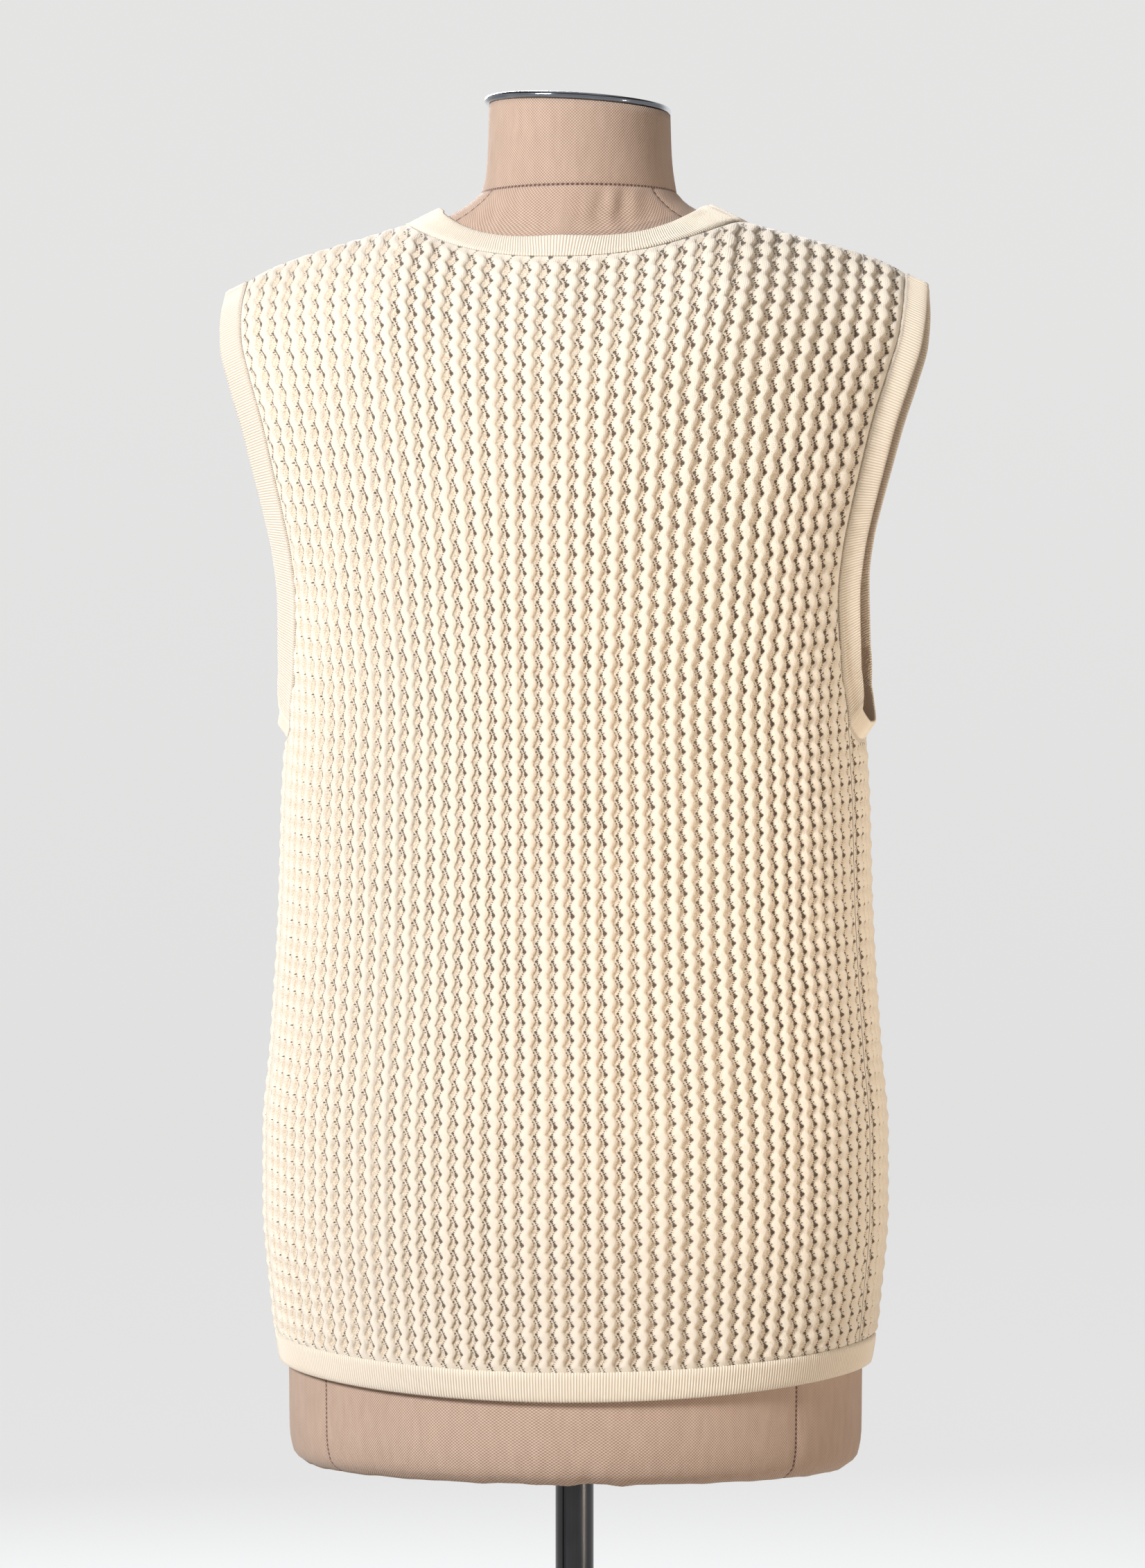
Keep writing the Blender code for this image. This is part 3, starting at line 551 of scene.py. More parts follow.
class Shader:
    """Material with its Principled shader, and the nodes that feed it."""

    def __init__(self, name: str, plain: dict[str, Any]) -> None:
        """Makes the material and sets the shader's plain values.

        Args:
            name: the material's name.
            plain: values of the Principled shader's sockets, by name.
        """
        self.material = bpy.data.materials.new(name)
        self.material.use_nodes = True
        self.tree = self.material.node_tree
        self.principled = self.tree.nodes["Principled BSDF"]
        for socket, value in plain.items():
            self.feed(self.principled.inputs[socket], value)

    def feed(self, socket: bpy.types.NodeSocket, value: Any) -> None:
        """Feeds one socket.

        Args:
            socket: the socket.
            value: a Value to link, or a number, colour or vector to set.
        """
        if isinstance(value, Value):
            self.tree.links.new(value.socket, socket)
        elif isinstance(value, tuple) and socket.type == "RGBA":
            socket.default_value = (*value[:3], 1.0)
        else:
            socket.default_value = value

    def node(self, kind: str, settings: dict[str, Any], inputs: dict[Any, Any], output: Any = 0) -> Value:
        """Adds one node.

        Args:
            kind: the node's type.
            settings: its settings.
            inputs: values or links of its sockets, by name or index.
            output: name or index of the result that is wanted.

        Returns:
            The node's result.
        """
        made = self.tree.nodes.new(kind)
        for setting, value in settings.items():
            setattr(made, setting, value)
        for socket, value in inputs.items():
            self.feed(made.inputs[socket], value)
        return Value(self, made.outputs[output])

    def mark(self, name: str) -> tuple[Value, Value, Value]:
        """Reads a vector kept on the mesh.

        Args:
            name: the vector's name.

        Returns:
            Its three parts.
        """
        vector = self.node("ShaderNodeAttribute", {"attribute_name": name}, {}, "Vector")
        parts = [self.node("ShaderNodeSeparateXYZ", {}, {0: vector}, index) for index in range(3)]
        return parts[0], parts[1], parts[2]

    def colours(self, share: Any, low: Any, high: Any) -> Value:
        """Colour between two, by a share.

        Args:
            share: how much of the second colour shows.
            low: first colour.
            high: second colour.

        Returns:
            The mixed colour.
        """
        shares_and_colours = {0: share, 6: low, 7: high}
        return self.node("ShaderNodeMix", {"data_type": "RGBA"}, shares_and_colours, 2)

    def noise(self, scale: float, detail: float = 2.0, stretch: Place = (1.0, 1.0, 1.0)) -> Value:
        """Soft noise over the object, from 0 to 1.

        Args:
            scale: blotches a metre.
            detail: how many finer layers it has.
            stretch: how much closer it lies along each axis.

        Returns:
            The noise.
        """
        place = self.node("ShaderNodeTexCoord", {}, {}, "Object")
        place = self.node("ShaderNodeVectorMath", {"operation": "MULTIPLY"}, {0: place, 1: stretch})
        return self.node("ShaderNodeTexNoise", {}, {"Vector": place, "Scale": scale, "Detail": detail})

    def bump(self, height: Value, distance: float, strength: float = 1.0) -> None:
        """Feeds a height to the shader's normal.

        Args:
            height: the height, from 0 to 1.
            distance: metres that a height of 1 stands for.
            strength: how much of it shows.
        """
        inputs = {"Height": height, "Distance": distance, "Strength": strength}
        self.feed(self.principled.inputs["Normal"], self.node("ShaderNodeBump", {}, inputs))

    def colour(self, value: Any) -> None:
        """Feeds the base colour."""
        self.feed(self.principled.inputs["Base Color"], value)

    def roughness(self, value: Any) -> None:
        """Feeds the roughness."""
        self.feed(self.principled.inputs["Roughness"], value)


COTTON = {"Sheen Weight": 0.5, "Sheen Roughness": 0.45, "Specular IOR Level": 0.25}
BRIGHT_METAL = {"Metallic": 1.0}
DARK_METAL = {"Metallic": 0.75, "Coat Weight": 0.15, "Coat Roughness": 0.25}
WOVEN_COVER = {"Sheen Weight": 0.15, "Specular IOR Level": 0.3}
SHELL = {"Coat Weight": 0.5, "Coat Roughness": 0.12}
THREAD = {"Roughness": 0.7, "Sheen Weight": 0.2}

CELL_HOLES = (
    Hole(0.12, 0.00, 0.120, 0.100),
    Hole(-0.12, 0.53, 0.095, 0.080),
    Hole(-0.06, 0.65, 0.055, 0.045),
    Hole(0.00, 0.77, 0.060, 0.050),
    Hole(0.06, 0.88, 0.070, 0.055),
    Hole(0.08, 0.13, 0.050, 0.030),
    Hole(0.01, 0.26, 0.045, 0.028),
    Hole(-0.06, 0.39, 0.050, 0.030),
    Hole(-0.24, 0.70, 0.045, 0.040),
    Hole(-0.16, 0.84, 0.040, 0.035),
    Hole(0.08, 0.70, 0.035, 0.035),
)


@dataclass(frozen=True)
class OpenworkKnitFinish:
    """Cream cotton knit: pale ridges, valleys painted a shaded tan, gaps along the zigzag painted with the
    dark shade of the form behind them, and fine stitches.
    """

    name: str = "cream openwork knit"
    ridge: Colour = (0.875, 0.805, 0.70)
    # Painted shade: darker tan that the colour takes in the hollows between the ridges.
    valley_shade: Colour = (0.66, 0.525, 0.38)
    # Painted shade: dark of the shaded form behind, painted where the knit has holes.
    gap: Colour = (0.095, 0.060, 0.040)
    holes: tuple[Hole, ...] = CELL_HOLES
    courses_a_wave: float = 11.0
    wales_a_column: float = 10.0
    hole_edge: tuple[float, float] = (0.45, 1.35)
    ridge_edge: tuple[float, float] = (0.10, 0.75)
    grain_edge: tuple[float, float] = (0.40, 0.60)
    grain_share: float = 0.85
    stitch_shade: float = 0.30
    worn_shade: float = 0.08
    gap_shade: float = 0.96

    def gaps(self, shader: Shader, across: Value, down: Value) -> Value:
        """Gaps of each cell, which are painted dark as shade rather than cut through.

        Args:
            shader: the shader being made.
            across: place across, in columns.
            down: place down, in waves.

        Returns:
            A mask, 1 in the gaps.
        """
        sizes = shader.noise(70.0, 1.0) * 1.5 + 0.25
        found: Value | None = None
        for hole in self.holes:
            beside = (across - hole.across).nearest() / hole.half_across
            below = (down - hole.down).nearest() / hole.half_down
            distance = beside * beside + below * below
            mask = 1.0 - (distance / sizes).ease(*self.hole_edge)
            found = mask if found is None else found.math("MAXIMUM", mask)
        return found

    def stitches(self, across: Value, down: Value) -> Value:
        """Height of the fine stitches.

        Args:
            across: place across, in columns.
            down: place down, in waves.

        Returns:
            The height, from 0 to 1.
        """
        wale = (across * self.wales_a_column).nearest().size()
        course = (down * self.courses_a_wave + wale * 1.2).wave()
        return course * 0.6 + (0.5 - wale) * 0.8

    def build(self) -> bpy.types.Material:
        """Makes the material.

        Returns:
            The finished material.
        """
        shader = Shader(self.name, COTTON)
        across, down, relief = shader.mark("cell")
        gaps = self.gaps(shader, across, down)
        stitches = self.stitches(across, down)
        worn = shader.noise(9.0, 3.0)
        grain = shader.noise(1300.0, 1.0)
        # Fine grain speckles the painted valley shade with the ridge's own colour.
        ground = shader.colours(grain.ease(*self.grain_edge) * self.grain_share, self.valley_shade, self.ridge)
        # Painted shade: where the relief is low, the colour falls to the valley's darker tone, standing in
        # for shade in the hollows.
        base = shader.colours(relief.ease(*self.ridge_edge), ground, self.ridge)
        # Painted shade: the low parts of the stitches take the valley's darker tone. The worn blotches add
        # random tone.
        shade = (1.0 - stitches) * self.stitch_shade + worn * self.worn_shade
        base = shader.colours(shade, base, self.valley_shade)
        # Painted shade: the gaps are not cut; they take the dark colour of the shaded form behind them.
        shader.colour(shader.colours(gaps * self.gap_shade, base, self.gap))
        shader.roughness(0.80 + stitches * 0.12)
        shader.bump(stitches * 0.35 + grain * 0.25 - gaps, 0.0008, 0.9)
        return shader.material


@dataclass(frozen=True)
class RibKnitFinish:
    """Cream cotton rib: pale ribs, with painted shade darkening the fine furrows between them."""

    name: str = "cream rib knit"
    rib: Colour = (0.87, 0.80, 0.695)
    painted_furrow_shade: Colour = (0.50, 0.375, 0.25)
    chain_reach: float = 0.17
    chain_shade: float = 0.75
    furrow_shade: float = 0.62
    worn_shade: float = 0.08
    loops_a_width: float = 22.0
    loop_slant: float = 1.4

    def build(self) -> bpy.types.Material:
        """Makes the material.

        Returns:
            The finished material.
        """
        shader = Shader(self.name, COTTON)
        along, across, chained = shader.mark("rib")
        ribs = along.wave()
        loops = (across * self.loops_a_width + along.nearest().size() * self.loop_slant).wave()
        furrows = (1.0 - ribs).ease(0.35, 1.0)
        links = (along * 1.5 + across * 9.0).wave() * (across / self.chain_reach * 2.0).wave()
        strip = chained * (1.0 - across.ease(self.chain_reach * 0.85, self.chain_reach * 1.15))
        # Painted shade: the furrows between the ribs take a darker colour.
        plain = (1.0 - strip) * furrows * self.furrow_shade
        worn = shader.noise(9.0, 3.0)
        shade = plain + strip * links * self.chain_shade + worn * self.worn_shade
        shader.colour(shader.colours(shade, self.rib, self.painted_furrow_shade))
        shader.roughness(0.80 + loops * 0.10)
        shader.bump((loops * 0.35 + ribs * 0.5) * (1.0 - strip) - strip * links * 1.6, 0.0004, 0.8)
        return shader.material


@dataclass(frozen=True)
class FormCoverFinish:
    """Two-tone woven cover of the form, with dotted seams."""

    name: str = "taupe woven cover"
    light: Colour = (0.66, 0.505, 0.405)
    dark: Colour = (0.22, 0.130, 0.092)
    thread: Colour = (0.085, 0.030, 0.026)
    pitch: float = 0.0017
    stitch_pitch: float = 0.0026
    stitch_edge: tuple[float, float] = (0.35, 0.95)

    def build(self) -> bpy.types.Material:
        """Makes the material.

        Returns:
            The finished material.
        """
        shader = Shader(self.name, WOVEN_COVER)
        around, up, _ = shader.mark("cloth")
        beside, along, _ = shader.mark("seam")
        diagonal = ((around + up) / self.pitch).wave()
        counter = ((around - up) / self.pitch).wave()
        weave = diagonal * 0.5 + counter * 0.5
        slubs = shader.noise(260.0, 2.0, (1.0, 1.0, 0.25))
        blotch = shader.noise(14.0, 2.0)
        shade = weave.ease(0.15, 0.85) * 0.62 + slubs * 0.22 + blotch * 0.16
        base = shader.colours(shade, self.dark, self.light)
        millimetres_beside = beside * 1000.0
        near = 1.0 - millimetres_beside.ease(*self.stitch_edge)
        dots = near * ((along / self.stitch_pitch).wave().ease(0.25, 0.7) * 0.6 + 0.4)
        shader.colour(shader.colours(dots * 0.9, base, self.thread))
        shader.roughness(0.72 + weave * 0.15)
        shader.bump(weave - dots * 2.0, 0.00022, 0.7)
        return shader.material


@dataclass(frozen=True)
class PolishedFinish:
    """Bright chromed metal with faint rubbing, and dark streaks of painted reflection in its colour."""

    name: str = "polished neck cap"
    light: Colour = (0.76, 0.80, 0.86)
    # Painted reflection: dark tone of the streaks.
    dark: Colour = (0.16, 0.17, 0.19)

    def build(self) -> bpy.types.Material:
        """Makes the material.

        Returns:
            The finished material.
        """
        shader = Shader(self.name, BRIGHT_METAL)
        painted_reflections = shader.noise(16.0, 2.0, (1.0, 1.0, 0.1))
        rubbing = shader.noise(900.0, 2.0)
        # Painted reflection: dark streaks in the metal's colour stand in for dark surroundings mirrored in
        # it.
        shader.colour(shader.colours(painted_reflections.ease(0.40, 0.60), self.dark, self.light))
        shader.roughness(rubbing * 0.10 + 0.08)
        shader.bump(rubbing, 0.00003, 0.3)
        return shader.material


@dataclass(frozen=True)
class DarkMetalFinish:
    """Dark metal of the pole and base, brushed along its length."""

    name: str = "dark brushed metal"
    tone: Colour = (0.022, 0.022, 0.024)
    worn: Colour = (0.048, 0.048, 0.052)

    def build(self) -> bpy.types.Material:
        """Makes the material.

        Returns:
            The finished material.
        """
        shader = Shader(self.name, DARK_METAL)
        brushing = shader.noise(900.0, 3.0, (1.0, 1.0, 0.03))
        rubbed = shader.noise(22.0, 3.0)
        shader.colour(shader.colours(brushing * 0.5 + rubbed.ease(0.5, 0.8) * 0.4, self.tone, self.worn))
        shader.roughness(brushing * 0.16 + 0.24)
        shader.bump(brushing, 0.00004, 0.4)
        return shader.material


@dataclass(frozen=True)
class ShellButtonFinish:
    """Pale shell button with soft cloudy bands."""

    name: str = "pale shell button"
    light: Colour = (0.80, 0.71, 0.57)
    dark: Colour = (0.56, 0.45, 0.32)

    def build(self) -> bpy.types.Material:
        """Makes the material.

        Returns:
            The finished material.
        """
        shader = Shader(self.name, SHELL)
        clouds = shader.noise(90.0, 4.0, (1.0, 1.0, 3.0))
        shader.colour(shader.colours(clouds.ease(0.3, 0.7), self.light, self.dark))
        shader.roughness(clouds * 0.12 + 0.22)
        shader.bump(clouds, 0.00005, 0.4)
        return shader.material


@dataclass(frozen=True)
class SewingThreadFinish:
    """Cream sewing thread with a slight twist."""

    name: str = "cream sewing thread"
    tone: Colour = (0.80, 0.69, 0.53)
    shade: Colour = (0.55, 0.42, 0.28)

    def build(self) -> bpy.types.Material:
        """Makes the material.

        Returns:
            The finished material.
        """
        shader = Shader(self.name, THREAD)
        twist = shader.noise(1800.0, 1.0, (1.0, 1.0, 2.0))
        shader.colour(shader.colours(twist * 0.6, self.tone, self.shade))
        shader.bump(twist, 0.0001, 0.5)
        return shader.material


@dataclass(frozen=True)
class StudioFinish:
    """Pale matt floor that runs up into the walls."""

    name: str = "pale studio floor"
    pale: Colour = (0.20, 0.21, 0.22)
    mottle: Colour = (0.19, 0.20, 0.21)
    glow: float = 0.715

    def build(self) -> bpy.types.Material:
        """Makes the material.

        Returns:
            The finished material.
        """
        plain = {"Roughness": 0.9, "Specular IOR Level": 0.1, "Emission Strength": self.glow}
        shader = Shader(self.name, plain)
        shader.colour(shader.colours(shader.noise(0.8, 1.0), self.pale, self.mottle))
        return shader.material


@dataclass(frozen=True)
class FormShape:
    """Shape of the dress form, and how near cloth comes to it."""

    neck_top: float = 0.780
    tilt_start: float = 0.736
    neck_roll: float = math.radians(3.6)
    clearance: float = 0.0036
    ridge_clearance: float = 0.0016
    rings: Table = field(default_factory=lambda: Table(FORM_RINGS))

    def depth(self, x: Any, height: Any, side: Side) -> Array:
        """Distance of the form's surface from the plane through its axis.

        Args:
            x: places to the side.
            height: heights above the form's underside.
            side: back or front.

        Returns:
            The depths, 0 beside the form.
        """
        half_width = self.rings.read("half_width", height)
        fullness = self.rings.read("fullness", height)
        inside = np.maximum(0.0, 1.0 - (np.abs(x) / half_width) ** fullness)
        return self.rings.read(side.value, height) * inside ** (1.0 / fullness)

    def cloth_depth(self, x: Any, height: Any, side: Side) -> Array:
        """Least depth at which cloth lies on the form."""
        return self.depth(x, np.asarray(height) - self.ridge_clearance, side) + self.clearance

    def clear(self, points: Array, margin: float) -> Array:
        """Moves points that are nearer the form than a margin level and outward.

        Args:
            points: the points.
            margin: the least distance.

        Returns:
            The points, moved where needed.
        """
        level = points[..., 2] - margin
        half_width = self.rings.read("half_width", level) + margin
        behind = points[..., 1] > 0.0
        depth = np.where(behind, self.rings.read("back", level), self.rings.read("front", level))
        fullness = self.rings.read("fullness", level)
        reach = np.abs(points[..., 0] / half_width) ** fullness
        reach = (reach + np.abs(points[..., 1] / (depth + margin)) ** fullness) ** (1.0 / fullness)
        scale = 1.0 / np.minimum(1.0, np.maximum(reach, 1e-6))
        return points * points_of(scale, scale, np.ones_like(scale))


@dataclass(frozen=True)
class Cut:
    """Sizes to which the cardigan's panels and bands are cut."""

    seam_angle: float = math.radians(75.0)
    hem_side: float = 0.060
    hem_dip: float = 0.0115
    hem_dip_power: float = 1.5
    hem_band_width: float = 0.0157
    underarm: float = 0.414
    underarm_seam: float = 0.422
    underarm_front: float = 0.440
    underarm_lowest_at: float = 0.90
    neck_half_width: float = 0.097
    neck_point: float = 0.714
    back_neck: float = 0.688
    front_neck: float = 0.628
    tip_half_width: float = 0.1905
    shoulder_slope: float = 0.280
    shoulder_drop: float = 0.0055
    drop_power: float = 8.0
    shoulder_rounding: float = 0.090
    shoulder_fullness: float = 0.55
    neckline_power: float = 2.4
    neck_corner: float = 0.003
    neck_rises: tuple[float, float, float] = (37.0, 26.0, 64.0)
    button_band_half: float = 0.0130
    rings: Table = field(default_factory=lambda: Table(GARMENT_RINGS))
    armhole: Table = field(default_factory=lambda: Table(ARMHOLE_ROWS))
    form: FormShape = field(default_factory=FormShape)

    def hem_height(self, angle: Any) -> Array:
        """Top of the hem band at an angle from the centre of the back."""
        dip = self.hem_dip * np.abs(np.cos(angle)) ** self.hem_dip_power
        return self.hem_side + self.hem_band_width - dip

    def shoulder_seam(self, x: Any) -> tuple[Array, Array]:
        """Height and steepness of the shoulder seam: straight, then rounded off at the tip.

        Args:
            x: places to the side.

        Returns:
            Heights, and the fall for each metre outward.
        """
        span = self.tip_half_width - self.neck_half_width
        share = np.maximum(0.0, np.abs(x) - self.neck_half_width) / span
        fall = self.shoulder_slope * share * span + self.shoulder_drop * share**self.drop_power
        rounding = self.drop_power * self.shoulder_drop * share ** (self.drop_power - 1.0) / span
        return self.neck_point - fall, self.shoulder_slope + rounding

    def top_edge(self, x: Any, side: Side) -> tuple[Array, Array]:
        """Top edge of a panel: the neckline, then the shoulder seam.

        Args:
            x: places to the side.
            side: back or front.

        Returns:
            Heights and depths of the edge.
        """
        x = np.abs(np.asarray(x, dtype=float))
        lowest = self.back_neck if side is Side.BACK else self.front_neck
        inner = hold(x / self.neck_half_width)
        neckline = mix(lowest, self.neck_point, inner**self.neckline_power)
        height = np.where(x >= self.neck_half_width, self.shoulder_seam(x)[0], neckline)
        fade = np.sqrt(hold((self.neck_half_width - x) / self.neck_corner))
        depth = mix(TOUCH_GAP / 2, self.form.cloth_depth(x, height, side), fade)
        return height, depth

    def neck_directions(self, points: Array) -> tuple[Array, Array]:
        """Directions up the neck and out of the cloth along the neckline.

        Args:
            points: points of the neckline.

        Returns:
            The two directions, of length 1.
        """
        beyond = np.maximum(0.0, np.abs(points[..., 0]) - self.button_band_half - TOUCH_GAP)
        radial = unit(points_of(np.copysign(beyond, points[..., 0]), points[..., 1], 0.0))
        plan = unit(points_of(points[..., 0], points[..., 1], 0.0))
        back, sideways, front = self.neck_rises
        rise = np.where(
            plan[..., 1] > 0.0,
            mix(back, sideways, np.abs(plan[..., 0])),
            mix(sideways, front, np.maximum(0.0, -plan[..., 1])),
        )
        rise = np.radians(rise)[..., None]
        sine, cosine = np.sin(rise), np.cos(rise)
        return UPRIGHT * sine - radial * cosine, UPRIGHT * cosine + radial * sine

    def top_normals(self, points: Array) -> Array:
        """Directions out of the cloth along a panel's top edge."""
        steepness = self.shoulder_seam(points[..., 0])[1]
        shoulder = points_of(np.copysign(steepness, points[..., 0]), 0.0, 1.0)
        inside = np.abs(points[..., 0:1]) < self.neck_half_width
        return np.where(inside, self.neck_directions(points)[1], unit(shoulder))


@dataclass(frozen=True)
class Panel:
    """Inner surface of a knitted panel, read at a share of its width and at a level.

    Level 0 is at the hem band, 1 at the underarm and 2 at the neckline and shoulder seam.
    """

    side: Side
    hand: float
    cut: Cut
    front_columns: int = 30
    front_columns_above: int = 22
    back_columns: int = 44
    join_share: float = 0.10
    column_evening: float = 0.8
    crown_fullness: float = 0.85
    crown_start: float = 0.030
    crown_reach: float = 0.070
    edge_stretch: float = 0.85
    seat_softness: float = 0.002
    seam_gap_share: float = 0.4
    normal_step: float = 0.004

    @property
    def outward(self) -> float:
        """Direction of this half along Y."""
        return 1.0 if self.side is Side.BACK else -1.0

    @property
    def columns(self) -> int:
        """Wave columns below the underarm."""
        return self.back_columns if self.side is Side.BACK else self.front_columns

    @property
    def limit(self) -> float:
        """Share of the width at which the panel ends above the underarm."""
        return 1.0 if self.side is Side.BACK else self.front_columns_above / self.front_columns

    def angle(self, across: Any, height: Any) -> Array:
        """Angle from the centre of the back, below the underarm.

        Args:
            across: shares of the width.
            height: heights above the form's underside.

        Returns:
            The angles.
        """
        if self.side is Side.BACK:
            seam = self.cut.seam_angle
            return evened_angle(-seam, seam, across) + 0.0 * np.asarray(height)
        half_width = self.cut.rings.read("half_width", height)
        front_edge = np.arcsin((self.cut.button_band_half + TOUCH_GAP) / half_width)
        side_gap = TOUCH_GAP / (self.seam_gap_share * half_width)
        side_edge = math.pi - self.cut.seam_angle - side_gap
        return self.hand * (math.pi - evened_angle(front_edge, side_edge, across))

    def underarm_height(self, across: Any) -> Array:
        """Height at which the upper part starts.

        Args:
            across: shares of the width.

        Returns:
            The heights, which follow the armhole's curve in a front's outer part.
        """
        if self.side is Side.BACK:
            return self.cut.underarm_seam + 0.0 * np.asarray(across)
        lowest = self.cut.underarm_lowest_at
        from_lowest = (across - lowest) / (lowest - self.limit)
        curve = mix(self.cut.underarm, self.cut.underarm_front, np.minimum(1.0, from_lowest**2))
        return np.where(across <= self.limit, self.cut.underarm_front, curve)

    def lower(self, across: Any, share: Any) -> Array:
        """Inner points between the hem band and the underarm.

        Args:
            across: shares of the width.
            share: shares of the height.

        Returns:
            The points.
        """
        bottom = self.cut.hem_height(self.angle(across, self.cut.hem_side)) + TOUCH_GAP
        height = mix(bottom, self.underarm_height(across), share)
        return ring_points(self.cut.rings, self.angle(across, height), height)

    def upper(self, across: Any, share: Any) -> Array:
        """Inner points between the underarm and the neckline or shoulder seam.

        Args:
            across: shares of the width.
            share: shares of the height.

        Returns:
            The points.
        """
        cut = self.cut
        back = self.side is Side.BACK
        place = mix(-1.0, 1.0, across) if back else across / self.limit
        inner_edge = 0.0 if back else cut.button_band_half + TOUCH_GAP
        base = self.lower(across, np.ones_like(share))
        join = hold(share / self.join_share)
        edge_x = cut.armhole.read("half_width", share)
        angle = evened_angle(-cut.seam_angle, cut.seam_angle, (place + 1.0) / 2.0)
        even_lengths = np.sin(angle) / math.sin(cut.seam_angle)
        width = mix(even_lengths, place, share**self.column_evening)
        x = inner_edge + (edge_x - inner_edge) * width
        x = mix(np.copysign(np.abs(base[..., 0]), place), x, join)
        top_x = inner_edge + (cut.tip_half_width - inner_edge) * place
        top_height, top_depth = cut.top_edge(top_x, self.side)
        height = mix(base[..., 2], top_height, share)
        edge = cut.armhole.read(self.side.value, share)
        centre = cut.rings.read(self.side.value, height)
        lowest = math.cos(cut.seam_angle)
        crown = np.maximum(0.0, (np.cos(angle) - lowest) / (1.0 - lowest))
        depth = edge + (centre - edge) * crown ** mix(1.0, self.crown_fullness, share)
        rise = hold(1.0 - (top_height - height) / cut.shoulder_rounding)
        towards_tip = hold((np.abs(top_x) - self.crown_start) / self.crown_reach)
        closing = (1.0 - rise**2) ** mix(1.0, cut.shoulder_fullness, towards_tip)
        between = top_depth + (depth - top_depth) * closing
        beside_armhole = edge + (depth - edge) * closing
        near_edge = hold((np.abs(place) - self.edge_stretch) / (1.0 - self.edge_stretch))
        depth = mix(between, beside_armhole, near_edge)
        depth = mix(np.abs(base[..., 1]), depth, join)
        seat = cut.form.cloth_depth(x, height, self.side)
        seated = 0.5 * (depth + seat + np.sqrt((depth - seat) ** 2 + self.seat_softness**2))
        depth = np.where(share < 1.0, seated, depth)
        hand = 1.0 if back else self.hand
        return points_of(hand * x, self.outward * depth, height)

    def points(self, across: Any, level: Any) -> Array:
        """Inner points of the panel.

        Args:
            across: shares of the width.
            level: levels.

        Returns:
            The points.
        """
        across, level = np.broadcast_arrays(np.asarray(across, float), np.asarray(level, float))
        low = self.lower(across, hold(level))
        high = self.upper(across, hold(level - 1.0))
        return np.where((level <= 1.0)[..., None], low, high)

    def normals(self, across: Any, level: Any) -> Array:
        """Directions out of the cloth at shares of the width and levels.

        Args:
            across: shares of the width.
            level: levels.

        Returns:
            The directions, of length 1.
        """
        across, level = np.broadcast_arrays(np.asarray(across, float), np.asarray(level, float))
        step = self.normal_step
        last = np.where(level <= 1.0, 1.0, self.limit)
        before = self.points(hold(across - step), level)
        after = self.points(np.minimum(last, across + step), level)
        below = self.points(across, np.maximum(0.0, level - step))
        above = self.points(across, np.minimum(2.0, level + step))
        found = unit(np.cross(after - before, above - below))
        guess = points_of(3.0 * before[..., 0], self.outward, 0.3)
        found = found * np.where((found * guess).sum(axis=-1) > 0.0, 1.0, -1.0)[..., None]
        top = self.cut.top_normals(self.points(across, np.full_like(level, 2.0)))
        return np.where((level >= 2.0)[..., None], top, found)


GRID_PHASES = (
    Phase(Track.HOLES, -0.07, 0.16),
    Phase(Track.HOLES, 0.05, 0.20),
    Phase(Track.HOLES, 0.20, 0.72),
    Phase(Track.RIDGE, -0.22, 1.00),
    Phase(Track.RIDGE, -0.06, 0.94),
    Phase(Track.RIDGE, 0.02, 0.24),
    Phase(Track.RIDGE, 0.10, 0.02),
)

WANDER_TABLE = (60, 16)
WANDER_SEED = 7
RIDGE_DOWN = (0.0, 0.15, 0.28, 0.40, 0.50, 0.60, 0.72, 0.85, 0.95)
RIDGE_ACROSS = (-0.29, -0.37, -0.46, -0.50, -0.45, -0.34, -0.26, -0.24, -0.26)


